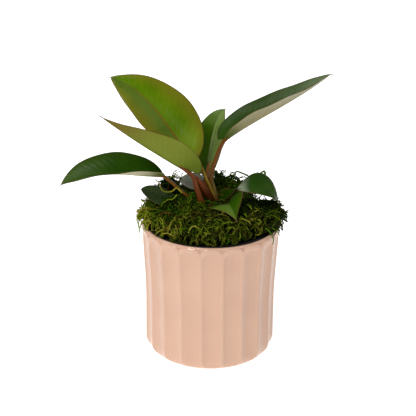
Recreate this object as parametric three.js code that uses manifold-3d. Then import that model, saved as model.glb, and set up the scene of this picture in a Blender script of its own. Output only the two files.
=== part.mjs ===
// A young red congo philodendron in a black grower pot, dressed with moss, inside a ribbed glazed pot.
// Millimetres, +Z up. The origin is the centre of the glazed pot's underside; +X is to the viewer's right.
import * as THREE from 'three';
import { mergeVertices } from 'three/addons/utils/BufferGeometryUtils.js';
import Module from 'manifold-3d';

const wasm = await Module();
wasm.setup();

// Driving dimensions of the glazed pot
const POT_HEIGHT = 129;
const RIM_RADIUS = 65;
const WAIST_RADIUS = 62.4;
const LOW_RADIUS = 62.7;
const MOUTH_RADIUS = 61.5;
const BASE_EDGE_RADIUS = 12;
const POT_FLOOR = 6;
const CAVITY_RADIUS = 58;
const FLUTES = 20;
const FIRST_RIDGE_DEG = -8.2;
const FLUTE_TWIST_DEG = 2.2;

// Relief of one flute: a rounded border between an outer and an inner outline, round a shallow trough,
// with a notch outside the rounded corners
const LIP_HEIGHT = 1.5;
const LIP_RECESS = 0.35;
const ARCH_RADIUS = 7.6;
const FOOT_ARCH_RADIUS = 5.5;
const BORDER_SIDE = 1.3;
const BORDER_TOP = 3.4;
const BORDER_FOOT = 3;
const INNER_ARCH_RADIUS = 8.7;
const INNER_FOOT_RADIUS = 7;
const BORDER_HEIGHT = 0.6;
const TROUGH_DEPTH = 1.8;
const NOTCH_DEPTH = 1;
const NOTCH_EDGE = 1.8;

// Driving dimensions of the grower pot, its mix and the gaps between pieces
const GAP = 0.35;
const GROWER_RIM_RADIUS = 60.5;
const GROWER_TOP = POT_HEIGHT - 1.2;
const GROWER_MOUTH_RADIUS = 56.5;
const GROWER_BASE_RADIUS = 44;
const GROWER_WALL = 1.4;
const DRAIN_HOLES = 6;
const DRAIN_RADIUS = 4;
const MIX_TOP = 117;

// Driving dimensions of the moss: its edge's distance from the axis on each side, and its heights
const MOSS_FRONT = 54.3;
const MOSS_FRONT_SLANT = 2.2;
const MOSS_RIGHT = 69;
const MOSS_LEFT = 66.5;
const MOSS_BACK = 65;
const MOSS_LEVEL = 149;
const MOSS_BACK_HEAP = 12;
const MOSS_RIGHT_HOLLOW = 4.5;
// Heaps on the moss: behind on the left, over the foot of the low left leaf, beside the stem, in front of it
const MOSS_HEAPS = [
  { x: -40, y: 20, wide: 10, deep: 12, height: 18 },
  { x: -33, y: -7, wide: 10, deep: 8, height: 6 },
  { x: -17, y: 0, wide: 10, deep: 8, height: 6 },
  { x: -2, y: -9, wide: 12, deep: 8, height: 4 },
];
const MOSS_CURLS = 76;
const SPILL_RIGHT_DEG = 50;
const SPILL_LEFT_DEG = 62;
const WELL_RADIUS = 9;

// Driving dimensions of the plant
const BLADE_THICKNESS = 0.8;
const CROWN_RADIUS = 7;
const CROWN_TOP = 143;
const CROWN_FOOT = 92;
const ROOTS = 5;

const V = (x, y, z) => new THREE.Vector3(x, y, z);
const radians = THREE.MathUtils.degToRad;
const lerp = THREE.MathUtils.lerp;
const clamp = THREE.MathUtils.clamp;

function smooth(low, high, x) {
  return THREE.MathUtils.smoothstep(x, low, high);
}

// A point at an azimuth counted from the front, towards the right
function around(radius, azimuth, z) {
  return V(radius * Math.sin(azimuth), -radius * Math.cos(azimuth), z);
}

// A repeatable random number from 0 to 1
function randomFrom(seed) {
  let state = seed;
  return () => {
    state = (state * 1664525 + 1013904223) % 4294967296;
    return state / 4294967296;
  };
}

// Closed bodies from rings of points

function signedVolume(points, faces) {
  const cross = V(0, 0, 0);
  let volume = 0;
  for (const [a, b, c] of faces) {
    volume += cross.crossVectors(points[a], points[b]).dot(points[c]);
  }
  return volume / 6;
}

function geometryOf(points, faces) {
  const outward = signedVolume(points, faces) > 0;
  const index = faces.flatMap(([a, b, c]) => (outward ? [a, b, c] : [a, c, b]));
  const geometry = new THREE.BufferGeometry();
  geometry.setAttribute('position', new THREE.Float32BufferAttribute(points.flatMap((p) => p.toArray()), 3));
  geometry.setIndex(index);
  return geometry;
}

// Rings with the same number of points become one skin. A flat sheet's ring runs along its face and
// back along its underside, so its second half takes the other diagonal and its ends are closed by a strip.
function loft(rings, sheet = false) {
  const n = rings[0].length;
  const faces = [];
  for (let r = 0; r + 1 < rings.length; r++) {
    for (let i = 0; i < n; i++) {
      const j = (i + 1) % n;
      const [a, b, c, d] = [r * n + i, r * n + j, (r + 1) * n + j, (r + 1) * n + i];
      const underside = sheet && i >= n / 2;
      faces.push(...(underside ? [[a, b, d], [b, c, d]] : [[a, b, c], [a, c, d]]));
    }
  }
  for (const [ring, first] of [[0, true], [rings.length - 1, false]]) {
    for (const face of sheet ? stripCap(n) : fanCap(n)) {
      const [a, b, c] = face.map((i) => ring * n + i);
      faces.push(first ? [a, c, b] : [a, b, c]);
    }
  }
  return geometryOf(rings.flat(), faces);
}

function fanCap(n) {
  return Array.from({ length: n - 2 }, (_, i) => [0, i + 1, i + 2]);
}

function stripCap(n) {
  const faces = [];
  for (let i = 0; i < n / 2 - 1; i++) {
    const [a, b, c, d] = [i, i + 1, n - 2 - i, n - 1 - i];
    faces.push([a, b, c], [a, c, d]);
  }
  return faces;
}

// Solids for joining and cutting

function solidOf(geometry) {
  const bare = geometry.clone();
  bare.deleteAttribute('normal');
  bare.deleteAttribute('uv');
  const merged = mergeVertices(bare);
  const vertProperties = new Float32Array(merged.attributes.position.array);
  const triVerts = new Uint32Array(merged.index.array);
  return new wasm.Manifold(new wasm.Mesh({ numProp: 3, vertProperties, triVerts }));
}

function geometryOfSolid(solid) {
  const mesh = solid.getMesh();
  const geometry = new THREE.BufferGeometry();
  geometry.setAttribute('position', new THREE.BufferAttribute(new Float32Array(mesh.vertProperties), 3));
  geometry.setIndex(new THREE.BufferAttribute(new Uint32Array(mesh.triVerts), 1));
  return geometry;
}

function cutBy(solid, tools) {
  return tools.reduce((left, tool) => left.subtract(tool), solid);
}

function largestPiece(solid) {
  return solid.decompose().reduce((best, piece) => (piece.volume() > best.volume() ? piece : best));
}

// The glazed pot

function wallRadius(z) {
  const flare = smooth(0.45 * POT_HEIGHT, POT_HEIGHT, z);
  const belly = 1 - smooth(0.1 * POT_HEIGHT, 0.45 * POT_HEIGHT, z);
  return WAIST_RADIUS + flare * (RIM_RADIUS - WAIST_RADIUS) + belly * (LOW_RADIUS - WAIST_RADIUS);
}

// Distance from a rounded upright outline, negative inside it; across is measured from its middle
function outlineDistance(across, z, half, top, foot, arch, footArch) {
  const middle = (top + foot) / 2;
  const corner = z > middle ? arch : footArch;
  const dx = Math.abs(across) - half + corner;
  const dz = Math.abs(z - middle) - (top - foot) / 2 + corner;
  return Math.min(Math.max(dx, dz), 0) + Math.hypot(Math.max(dx, 0), Math.max(dz, 0)) - corner;
}

// Height of the flutes' surface against their borders, before the flutes' slight twist
function relief(azimuth, z) {
  const pitch = (2 * Math.PI) / FLUTES;
  const half = (pitch * RIM_RADIUS) / 2;
  const top = POT_HEIGHT - LIP_HEIGHT;
  const turn = (azimuth - radians(FIRST_RIDGE_DEG)) / pitch;
  const across = (turn - Math.floor(turn) - 0.5) * pitch * RIM_RADIUS;
  const outer = outlineDistance(across, z, half, top, 0, ARCH_RADIUS, FOOT_ARCH_RADIUS);
  if (z > top) return -LIP_RECESS * smooth(top, top + 0.4, z);
  if (outer > 0) return -NOTCH_DEPTH * smooth(0, NOTCH_EDGE, outer);
  const reach = half - BORDER_SIDE;
  const ends = [top - BORDER_TOP, BORDER_FOOT];
  const within = -outlineDistance(across, z, reach, ...ends, INNER_ARCH_RADIUS, INNER_FOOT_RADIUS);
  const bow = clamp(within / reach, 0, 1);
  return -BORDER_HEIGHT * smooth(-1.6, 2, within) - TROUGH_DEPTH * (1 - (1 - bow) ** 2);
}

// Rings of the outside; leans is the turn of the base's rounded edge, 90 on the upright wall
function potWall() {
  const shares = [0, 0.1, 0.25, 0.5, 0.75, 0.9];
  const azimuths = [];
  for (let k = 0; k < FLUTES; k++) {
    for (const share of shares) azimuths.push(radians(FIRST_RIDGE_DEG + ((k + share) * 360) / FLUTES));
  }
  const ring = (radius, z, leans) => {
    const twist = radians(FLUTE_TWIST_DEG) * (1 - z / POT_HEIGHT);
    const [out, down] = [Math.sin(radians(leans)), Math.cos(radians(leans)) * smooth(0, 20, leans)];
    return azimuths.map((a) => around(radius + out * relief(a, z), a + twist, z - down * relief(a, z)));
  };
  const edge = [0, 28, 50, 72].map((deg) => {
    const radius = LOW_RADIUS - BASE_EDGE_RADIUS + BASE_EDGE_RADIUS * Math.sin(radians(deg));
    return ring(radius, BASE_EDGE_RADIUS * (1 - Math.cos(radians(deg))), deg);
  });
  const low = [BASE_EDGE_RADIUS, 0.45 * POT_HEIGHT, 0.8 * POT_HEIGHT];
  const fromTop = [15, 10.5, 7.6, 5, 3, LIP_HEIGHT];
  const wall = [...low, ...fromTop.map((drop) => POT_HEIGHT - drop)].map((z) => ring(wallRadius(z), z, 90));
  const lip = [ring(RIM_RADIUS, POT_HEIGHT - 0.9, 90), ring(RIM_RADIUS - 0.8, POT_HEIGHT, 90)];
  return loft([...edge, ...wall, ...lip]);
}

function potCavity() {
  const profile = [
    [0, POT_FLOOR],
    [CAVITY_RADIUS - 9, POT_FLOOR],
    [CAVITY_RADIUS - 2, POT_FLOOR + 3],
    [CAVITY_RADIUS, POT_FLOOR + 10],
    [CAVITY_RADIUS, POT_HEIGHT - 22],
    [MOUTH_RADIUS - 0.3, POT_HEIGHT - 12],
    [MOUTH_RADIUS - 0.3, POT_HEIGHT - 1.2],
    [MOUTH_RADIUS + 1.5, POT_HEIGHT + 1],
    [0, POT_HEIGHT + 1],
  ];
  return turned(profile, 56);
}

// A profile of [radius, height] pairs, from the axis to the axis, turned about +Z
function turned(profile, segments) {
  const geometry = new THREE.LatheGeometry(profile.map(([r, z]) => new THREE.Vector2(r, z)), segments);
  return geometry.rotateX(Math.PI / 2);
}

function glazedPot() {
  return solidOf(potWall()).subtract(solidOf(potCavity()));
}

// The grower pot and what fills it

function growerRadius(z) {
  return lerp(GROWER_BASE_RADIUS, GROWER_MOUTH_RADIUS, (z - growerFoot()) / (GROWER_TOP - growerFoot()));
}

function growerFoot() {
  return POT_FLOOR + GAP;
}

function growerPot() {
  const foot = growerFoot();
  const skirt = GROWER_TOP - 6;
  const inside = (z) => growerRadius(z) - GROWER_WALL;
  const shell = turned(
    [
      [0, foot],
      [growerRadius(foot), foot],
      [growerRadius(skirt), skirt],
      [GROWER_RIM_RADIUS - 0.8, skirt + 0.4],
      [GROWER_RIM_RADIUS, GROWER_TOP - 1.2],
      [GROWER_RIM_RADIUS - 1.2, GROWER_TOP],
      [inside(GROWER_TOP) + 0.6, GROWER_TOP],
      [inside(GROWER_TOP), GROWER_TOP - 1],
      [inside(foot + GROWER_WALL), foot + GROWER_WALL],
      [0, foot + GROWER_WALL],
    ],
    48,
  );
  const holes = [];
  for (let k = 0; k < DRAIN_HOLES; k++) {
    const bore = new THREE.CylinderGeometry(DRAIN_RADIUS, DRAIN_RADIUS, 4 * GROWER_WALL, 10);
    bore.rotateX(Math.PI / 2);
    const place = around(0.62 * GROWER_BASE_RADIUS, (k * 2 * Math.PI) / DRAIN_HOLES, foot);
    holes.push(solidOf(bore.translate(place.x, place.y, place.z)));
  }
  return cutBy(solidOf(shell), holes);
}

function pottingMix() {
  const foot = growerFoot() + GROWER_WALL + GAP;
  const radius = (z) => growerRadius(z) - GROWER_WALL - GAP;
  const count = 40;
  const level = (share, z, rough) => {
    const ring = [];
    for (let i = 0; i < count; i++) {
      const azimuth = (2 * Math.PI * i) / count;
      const lump = rough * (Math.sin(5 * azimuth + 9 * share) + Math.cos(11 * azimuth - 5 * share));
      ring.push(around(share * radius(z), azimuth, z + lump));
    }
    return ring;
  };
  return solidOf(
    loft([
      level(0.97, foot, 0),
      level(1, foot + 2, 0),
      level(1, MIX_TOP - 3, 0),
      level(0.93, MIX_TOP, 0.5),
      level(0.55, MIX_TOP + 1.5, 0.7),
      level(0.25, MIX_TOP + 2, 0.4),
    ]),
  );
}

// Tubes and sheets of the plant; each can be made larger by a clearance, to cut its neighbours

// A round stalk along a smooth path, with radii at its foot and its top
function stalk(path, radii, clearance, sides = 8, steps = 7) {
  const curve = new THREE.CatmullRomCurve3(path.map(([x, y, z]) => V(x, y, z)));
  const rings = [];
  let aside = V(0, 1, 0);
  for (let i = 0; i <= steps; i++) {
    const t = i / steps;
    const along = curve.getTangentAt(t);
    const centre = curve.getPointAt(t);
    if (i === 0) centre.addScaledVector(along, -clearance);
    if (i === steps) centre.addScaledVector(along, clearance);
    aside = aside.clone().addScaledVector(along, -aside.dot(along)).normalize();
    const up = V(0, 0, 0).crossVectors(along, aside);
    const radius = lerp(radii[0], radii[1], t) + clearance;
    const ring = [];
    for (let k = 0; k < sides; k++) {
      const angle = (2 * Math.PI * k) / sides;
      const out = aside.clone().multiplyScalar(Math.cos(angle)).addScaledVector(up, Math.sin(angle));
      ring.push(centre.clone().addScaledVector(out, radius));
    }
    rings.push(ring);
  }
  return solidOf(loft(rings));
}

// Share of a half's greatest width at t from the base to the tip
function bladeWidth(t, [rise, fall]) {
  const widest = rise / (rise + fall);
  return Math.pow(t / widest, rise) * Math.pow((1 - t) / (1 - widest), fall);
}

// One half of a blade's cross-section, from the rib to the margin: points and their upward normals
function halfSection(t, side, half, at, steps, clearance) {
  const width = Math.max(half.width * bladeWidth(t, half.taper), 0.5) + clearance;
  const fold = radians(lerp(half.fold[0], half.fold[1], t));
  const [cos, sin] = [Math.cos(fold), Math.sin(fold)];
  const out = at.side.clone().multiplyScalar(side * cos).addScaledVector(at.face, sin);
  const normal = at.side.clone().multiplyScalar(-side * sin).addScaledVector(at.face, cos);
  const points = [];
  for (let i = 1; i <= steps; i++) {
    const share = i / steps;
    const back = -half.lobe * share * share * Math.pow(1 - t, 6);
    points.push(at.centre.clone().addScaledVector(out, width * share).addScaledVector(at.along, back));
  }
  return { points, normal };
}

// A thin leaf blade folded along its rib. The first half lies to the right, seen from base to tip, face up.
function blade(leaf, clearance = 0, across = 3, steps = 10) {
  const rib = new THREE.CubicBezierCurve3(...leaf.rib.map(([x, y, z]) => V(x, y, z)));
  const faces = leaf.face.map(([x, y, z]) => V(x, y, z).normalize());
  const rings = [];
  for (let i = 0; i <= steps; i++) {
    const t = clamp(i / steps, 0.012, 0.988);
    const along = rib.getTangent(t);
    const face = faces[0].clone().lerp(faces[1], t);
    face.addScaledVector(along, -face.dot(along)).normalize();
    const at = { centre: rib.getPoint(t), along, face, side: V(0, 0, 0).crossVectors(along, face) };
    if (i === 0) at.centre.addScaledVector(along, -3 * clearance);
    if (i === steps) at.centre.addScaledVector(along, clearance);
    const section = (half, k) => halfSection(t, k ? -1 : 1, half, at, across, clearance);
    const [right, left] = leaf.halves.map(section);
    const ridge = right.normal.clone().add(left.normal).normalize();
    const mitre = 1 / ridge.dot(right.normal);
    const points = [...left.points.reverse(), at.centre, ...right.points];
    const normals = points.map((_, k) => (k < across ? left.normal : right.normal));
    normals[across] = ridge.multiplyScalar(mitre);
    const lift = BLADE_THICKNESS / 2 + clearance;
    const upper = points.map((p, k) => p.clone().addScaledVector(normals[k], lift));
    const lower = points.map((p, k) => p.clone().addScaledVector(normals[k], -lift));
    rings.push([...upper, ...lower.reverse()]);
  }
  return solidOf(loft(rings, true));
}

// The plant's leaves: rib from base to tip, which way the face looks at the base and at the tip,
// and for each half its greatest width, its fold above flat at base and tip, its lobe and its taper
const LEAVES = {
  upper_left: {
    rib: [[-21, -2, 197], [-43, 4, 219], [-57, 13, 253], [-94, 22, 262]],
    face: [[0.3, -0.8, 0.5], [0.1, -0.6, 0.8]],
    halves: [
      { width: 31, fold: [12, 2], lobe: 9, taper: [0.5, 0.9] },
      { width: 21, fold: [14, -4], lobe: 9, taper: [0.75, 0.7] },
    ],
    stalk: [[3, -3, 141], [1.5, -4.5, 158], [-4.3, -6, 173], [-10.5, -5, 187], [-21, -2, 197]],
    stalkRadii: [1.8, 1.1],
  },
  front_left: {
    rib: [[-22, -14, 184], [-48, -24, 203], [-74, -31, 222], [-97, -40, 243]],
    face: [[0.3, 0.55, 0.75], [0.3, 0.55, 0.75]],
    halves: [
      { width: 20, fold: [88, 84], lobe: 6, taper: [0.5, 1.5] },
      { width: 21, fold: [56, 44], lobe: 13, taper: [0.42, 1.35] },
    ],
    stalk: [
      [-5, -5, 138], [-9, -8, 151], [-11.3, -9.5, 160],
      [-13.6, -10.8, 168], [-16.2, -12, 177.5], [-22, -14, 184],
    ],
    stalkRadii: [3.2, 2],
  },
  long_right: {
    rib: [[11, 0, 209], [34, -5, 230], [77, -12, 253], [103, -18, 278]],
    face: [[-0.6, 0.1, 0.8], [-0.6, 0.1, 0.8]],
    halves: [
      { width: 22.5, fold: [44, 10], lobe: 0, taper: [0.9, 0.8] },
      { width: 20.5, fold: [52, 36], lobe: 5, taper: [0.3, 0.75] },
    ],
    stalk: [[2, 0.5, 141], [-0.4, 0.5, 162], [0.6, 0, 178.5], [3.6, 0, 190], [7.4, 0, 201], [11, 0, 209]],
    stalkRadii: [3.4, 2.1],
  },
  upright_back: {
    rib: [[-4, 10, 176], [-2, 26, 198], [4, 50, 223], [13, 72, 218]],
    face: [[-0.1, -0.7, 0.65], [0, -0.3, 0.9]],
    halves: [
      { width: 12.5, fold: [20, 20], lobe: 5, taper: [0.5, 1.15] },
      { width: 18, fold: [20, 20], lobe: 5, taper: [0.45, 1.3] },
    ],
    stalk: [[-1, 5, 140], [-3, 8, 158], [-4, 10, 176]],
    stalkRadii: [2.4, 1.7],
  },
  long_left: {
    rib: [[-44, -6, 176], [-75, -14, 179], [-111, -21, 189], [-137, -26, 173]],
    face: [[0, 0, 1], [0, 0, 1]],
    halves: [
      { width: 25, fold: [38, 28], lobe: 0, taper: [0.6, 0.85] },
      { width: 25, fold: [34, 4], lobe: 0, taper: [0.5, 0.9] },
    ],
    stalk: [[-6, -1, 140], [-16, -2, 149], [-29, -4, 162], [-44, -6, 176]],
    stalkRadii: [2.6, 1.8],
  },
  low_left: {
    rib: [[-34, 0, 148], [-46, 3, 150], [-58, 6, 157], [-66.5, 8, 157]],
    face: [[0, -0.5, 1], [0, -0.5, 1]],
    halves: [
      { width: 10, fold: [8, 8], lobe: 3, taper: [0.5, 0.7] },
      { width: 11, fold: [8, 8], lobe: 3, taper: [0.5, 0.8] },
    ],
    stalk: [[-6, 1, 135], [-20, 0, 142], [-34, 0, 148]],
    stalkRadii: [1.7, 1.3],
    across: 2,
    steps: 7,
  },
  small_back: {
    rib: [[-6, 10, 157], [-16, 16, 164], [-22, 20, 165], [-30, 26, 162]],
    face: [[0.1, -0.5, 1], [0.1, -0.5, 1]],
    halves: [
      { width: 10, fold: [10, 10], lobe: 3, taper: [0.5, 0.7] },
      { width: 12, fold: [10, 10], lobe: 3, taper: [0.5, 0.7] },
    ],
    stalk: [[-4, 4, 136], [-6, 7, 146], [-6, 10, 157]],
    stalkRadii: [1.6, 1.2],
    across: 2,
    steps: 7,
  },
  low_front: {
    rib: [[15.5, -18, 154], [17, -26, 157], [20, -35, 156], [23.5, -43, 147]],
    face: [[0.1, -0.3, 0.95], [0.1, -0.5, 0.85]],
    halves: [
      { width: 17, fold: [-14, -6], lobe: 4, taper: [0.1, 1.15] },
      { width: 18, fold: [42, 10], lobe: 5, taper: [0.1, 1.35] },
    ],
    stalk: [[5, -5, 137], [10, -12, 147], [15.5, -18, 154]],
    stalkRadii: [1.7, 1.2],
    across: 2,
    steps: 8,
  },
  low_middle: {
    rib: [[9.5, 1, 155.5], [16, 0, 155.5], [24, 0, 156.5], [31, 0, 156]],
    face: [[0, -0.8, 0.5], [0, -0.8, 0.5]],
    halves: [
      { width: 9, fold: [6, 6], lobe: 2, taper: [0.35, 0.7] },
      { width: 6, fold: [6, 6], lobe: 2, taper: [0.35, 0.7] },
    ],
    stalk: [[5, 3, 138], [8, 3, 147], [9.5, 1, 155.5]],
    stalkRadii: [1.4, 1],
    across: 2,
    steps: 7,
  },
  low_right: {
    rib: [[23.5, -8, 164.5], [36, -9, 167], [56, -6, 170], [62.7, 0, 151]],
    face: [[0, -0.4, 1], [0.6, -0.3, 0.6]],
    halves: [
      { width: 9, fold: [4, 0], lobe: 0, taper: [0.9, 0.7] },
      { width: 20, fold: [0, 0], lobe: 0, taper: [1, 0.85] },
    ],
    stalk: [[7, 0, 138], [13, -6, 150], [18, -8, 157.5], [23.5, -8, 164.5]],
    stalkRadii: [1.7, 1.2],
    across: 2,
    steps: 8,
  },
};

// Pointed sheaths that wrapped a leaf before it opened, and still clasp the stalks
const SHEATHS = {
  tall: {
    rib: [[-3, -4.5, 150], [-6, -4.5, 163], [-5.5, -4, 178], [-1, -3.5, 191]],
    face: [[0, 1, 0], [0, 1, 0]],
    halves: [
      { width: 4, fold: [35, 20], lobe: 0, taper: [0.15, 0.9] },
      { width: 4, fold: [35, 20], lobe: 0, taper: [0.15, 0.9] },
    ],
  },
  front: {
    rib: [[0.5, -8, 150], [-6, -12.8, 164], [-10.5, -13.8, 171], [-13.5, -13.5, 179]],
    face: [[0.3, 1, 0.2], [0.3, 1, 0.2]],
    halves: [
      { width: 5, fold: [30, 20], lobe: 0, taper: [0.15, 0.7] },
      { width: 5, fold: [30, 20], lobe: 0, taper: [0.15, 0.7] },
    ],
  },
  short: {
    rib: [[6, -5, 148], [5, -5, 156], [3.5, -5, 164], [1.2, -4.5, 172]],
    face: [[-0.3, 1, 0], [-0.3, 1, 0]],
    halves: [
      { width: 2.4, fold: [30, 20], lobe: 0, taper: [0.15, 0.9] },
      { width: 2.4, fold: [30, 20], lobe: 0, taper: [0.15, 0.9] },
    ],
  },
};

// The short stem, with its main roots fused to its foot
function crown(clearance = 0) {
  const middle = (CROWN_TOP + CROWN_FOOT) / 2;
  const upright = [[0, 0, CROWN_FOOT], [0, 0, middle], [0, 0, CROWN_TOP]];
  const stem = stalk(upright, [4, CROWN_RADIUS], clearance, 10, 5);
  const roots = [];
  for (let k = 0; k < ROOTS; k++) {
    const azimuth = radians(20 + (360 * k) / ROOTS);
    const start = around(2, azimuth, CROWN_FOOT + 8);
    const bend = around(18, azimuth + 0.3, CROWN_FOOT - 6);
    const end = around(30, azimuth + 0.1, CROWN_FOOT - 34);
    const path = [start, bend, end].map((p) => p.toArray());
    roots.push(stalk(path, [2.4, 0.9], clearance, 6, 5));
  }
  return roots.reduce((whole, root) => whole.add(root), stem);
}

// The moss: a lumpy mound of tangled strands that fills the pot's mouth, is heaped higher at the back
// and spills over the rim at both sides and behind. Azimuths are counted from the front.

function awayFromFront(azimuth) {
  return Math.abs(Math.atan2(Math.sin(azimuth), Math.cos(azimuth)));
}

// 0 where the moss stays inside the mouth, 1 where it hangs over the rim
function mossSpill(azimuth, before) {
  const start = Math.sin(azimuth) > 0 ? SPILL_RIGHT_DEG : SPILL_LEFT_DEG;
  return smooth(radians(start - before), radians(start + 18 - 2 * before), awayFromFront(azimuth));
}

function mossEdge(azimuth) {
  const toBack = smooth(radians(110), radians(160), awayFromFront(azimuth));
  const side = Math.sin(azimuth) > 0 ? MOSS_RIGHT : MOSS_LEFT;
  const scallops = 0.8 * Math.sin(9 * azimuth) + 0.6 * Math.cos(14 * azimuth + 1);
  const front = MOSS_FRONT - MOSS_FRONT_SLANT * Math.sin(azimuth);
  return lerp(front, lerp(side, MOSS_BACK, toBack), mossSpill(azimuth, 0)) + scallops;
}

// Height of the mound's underside at its edge: on the grower pot's rim in front, on the glazed rim elsewhere
function mossEdgeFoot(azimuth) {
  return lerp(GROWER_TOP + GAP, POT_HEIGHT + 2 * GAP, mossSpill(azimuth, 8));
}

function mossTop(share, azimuth) {
  const x = share * mossEdge(azimuth) * Math.sin(azimuth);
  const y = -share * mossEdge(azimuth) * Math.cos(azimuth);
  const toSide = smooth(radians(35), radians(70), awayFromFront(azimuth));
  const toBack = smooth(radians(100), radians(150), awayFromFront(azimuth));
  const frontDrop = 12 * share ** 2 + 8 * share ** 8;
  const sideDrop = 8 * share ** 2 + 6 * share ** 12;
  const backDrop = 4 * share ** 2 + 18 * share ** 8;
  const drop = lerp(lerp(frontDrop, sideDrop, toSide), backDrop, toBack);
  const along = 1.4 * Math.sin(x / 4.1 + 1.3 * Math.sin(y / 6));
  const across = 1.3 * Math.cos(y / 3.7 + 1.1 * Math.sin(x / 5));
  const lumps = along + across;
  const backHeap = MOSS_BACK_HEAP * smooth(-2, 34, y) * smooth(-20, 0, x) * (1 - smooth(20, 50, x));
  const hollow = MOSS_RIGHT_HOLLOW * smooth(30, 44, x) * smooth(-15, 12, y) * (1 - smooth(50, 60, x));
  let heaps = 0;
  for (const heap of MOSS_HEAPS) {
    heaps += heap.height * Math.exp(-(((x - heap.x) / heap.wide) ** 2) - ((y - heap.y) / heap.deep) ** 2);
  }
  return MOSS_LEVEL + backHeap + heaps - hollow - drop + lumps * smooth(0, 0.2, share);
}

function mossMound() {
  const count = 48;
  const onMix = MIX_TOP + 4;
  const inside = GROWER_MOUTH_RADIUS - GROWER_WALL - 1.6;
  const ring = (place) => Array.from({ length: count }, (_, i) => place((2 * Math.PI * i) / count));
  const inMouth = (a) => Math.min(inside, mossEdge(a));
  const under = [
    ring((a) => around(12, a, onMix)),
    ring((a) => around(inMouth(a) - 1.5, a, onMix)),
    ring((a) => around(inMouth(a) - 0.8, a, mossEdgeFoot(a))),
    ring((a) => around(mossEdge(a) - 0.5, a, mossEdgeFoot(a) + 0.3)),
  ];
  const over = [1, 0.94, 0.85, 0.74, 0.62, 0.5, 0.38, 0.26].map((share) =>
    ring((a) => around(share * mossEdge(a), a, Math.max(mossTop(share, a), mossEdgeFoot(a) + 2))),
  );
  return loft([...under, ...over]);
}

// One curl of moss, arched up out of the mound with its foot sunk in
function mossCurl(random) {
  const azimuth = 2 * Math.PI * random();
  const share = Math.sqrt(lerp(0.06, 0.94, random()));
  const foot = around(share * mossEdge(azimuth), azimuth, mossTop(share, azimuth) - 2.5);
  const heading = 2 * Math.PI * random();
  const reach = lerp(5, 10, random());
  const atBack = smooth(radians(110), radians(140), awayFromFront(azimuth));
  const height = lerp(4.5, 7, random()) + 4 * atBack;
  const bend = foot.clone().add(around(0.4 * reach, heading, height));
  const turn = heading + lerp(-0.9, 0.9, random());
  const tip = bend.clone().add(around(0.6 * reach, turn, -lerp(0, 3, random())));
  const path = [foot, bend, tip].map((p) => p.toArray());
  return stalk(path, [1.4, 0.7], 0, 3, 3);
}

// The ring that the two pots' rims take, with its gap, which the curls stay out of
function rimSpace() {
  const inner = growerRadius(MIX_TOP) - GROWER_WALL - GAP;
  const mouth = MOUTH_RADIUS - GAP;
  const pastTheRim = RIM_RADIUS + 8;
  const [step, top] = [GROWER_TOP + GAP, POT_HEIGHT + GAP];
  const profile = [
    [inner, MIX_TOP], [pastTheRim, MIX_TOP], [pastTheRim, top],
    [mouth, top], [mouth, step], [inner, step], [inner, MIX_TOP],
  ];
  return solidOf(turned(profile, 56));
}

function moss() {
  const random = randomFrom(7);
  let whole = solidOf(mossMound());
  for (let k = 0; k < MOSS_CURLS; k++) whole = whole.add(mossCurl(random));
  const well = new THREE.CylinderGeometry(WELL_RADIUS, WELL_RADIUS - 1, 60, 14);
  const bored = whole.subtract(solidOf(well.rotateX(Math.PI / 2).translate(0, 0, POT_HEIGHT + 10)));
  return bored.subtract(rimSpace());
}

// Putting the pieces together

const POT_PINK = 0xe9c2ae;
const GROWER_BLACK = 0x17181a;
const MIX_BROWN = 0x3a2a1e;
const MOSS_GREEN = 0x4c5f1a;
const STALK_RED = 0x7d3b26;
const SHEATH_RED = 0x9a4a2c;
const YOUNG_GREEN = 0x6f8420;
const OLD_GREEN = 0x24461c;

const group = new THREE.Group();

function place(name, solid, color, roughness) {
  const material = new THREE.MeshStandardMaterial({ color, roughness, metalness: 0 });
  const mesh = new THREE.Mesh(geometryOfSolid(solid), material);
  mesh.name = name;
  group.add(mesh);
}

function stalkOf(leaf, clearance = 0) {
  return stalk(leaf.stalk, leaf.stalkRadii, clearance);
}

function bladeOf(leaf, clearance = 0) {
  return blade(leaf, clearance, leaf.across, leaf.steps);
}

place('glazed_pot', glazedPot(), POT_PINK, 0.25);
place('grower_pot', growerPot(), GROWER_BLACK, 0.5);
place('potting_mix', pottingMix().subtract(crown(GAP)), MIX_BROWN, 1);
place('crown', crown(), STALK_RED, 0.6);

const spaces = [crown(GAP)];
for (const [name, leaf] of Object.entries(LEAVES)) {
  place(`petiole_${name}`, largestPiece(cutBy(stalkOf(leaf), spaces)), STALK_RED, 0.35);
  spaces.push(stalkOf(leaf, GAP));
}
for (const [name, sheath] of Object.entries(SHEATHS)) {
  place(`sheath_${name}`, largestPiece(cutBy(blade(sheath, 0, 2, 6), spaces)), SHEATH_RED, 0.4);
  spaces.push(blade(sheath, GAP, 2, 6));
}
for (const [name, leaf] of Object.entries(LEAVES)) {
  const young = name === 'upper_left' || name === 'front_left';
  place(`blade_${name}`, largestPiece(cutBy(bladeOf(leaf), spaces)), young ? YOUNG_GREEN : OLD_GREEN, 0.3);
  spaces.push(bladeOf(leaf, GAP));
}
const wide = Object.values(LEAVES).flatMap((leaf) => [stalkOf(leaf, 2 * GAP), bladeOf(leaf, 2 * GAP)]);
place('moss', largestPiece(cutBy(moss(), [...wide, ...spaces])), MOSS_GREEN, 1);

export default group;
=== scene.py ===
import math

import bpy
import numpy as np
from mathutils import Matrix, Vector


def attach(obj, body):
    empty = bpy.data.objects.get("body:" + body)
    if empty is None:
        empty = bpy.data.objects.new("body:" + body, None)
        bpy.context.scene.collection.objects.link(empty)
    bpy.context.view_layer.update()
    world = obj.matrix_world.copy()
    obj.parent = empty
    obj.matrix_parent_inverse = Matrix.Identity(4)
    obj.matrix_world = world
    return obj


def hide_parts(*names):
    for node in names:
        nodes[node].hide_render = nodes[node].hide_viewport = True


MM = 0.001

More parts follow.
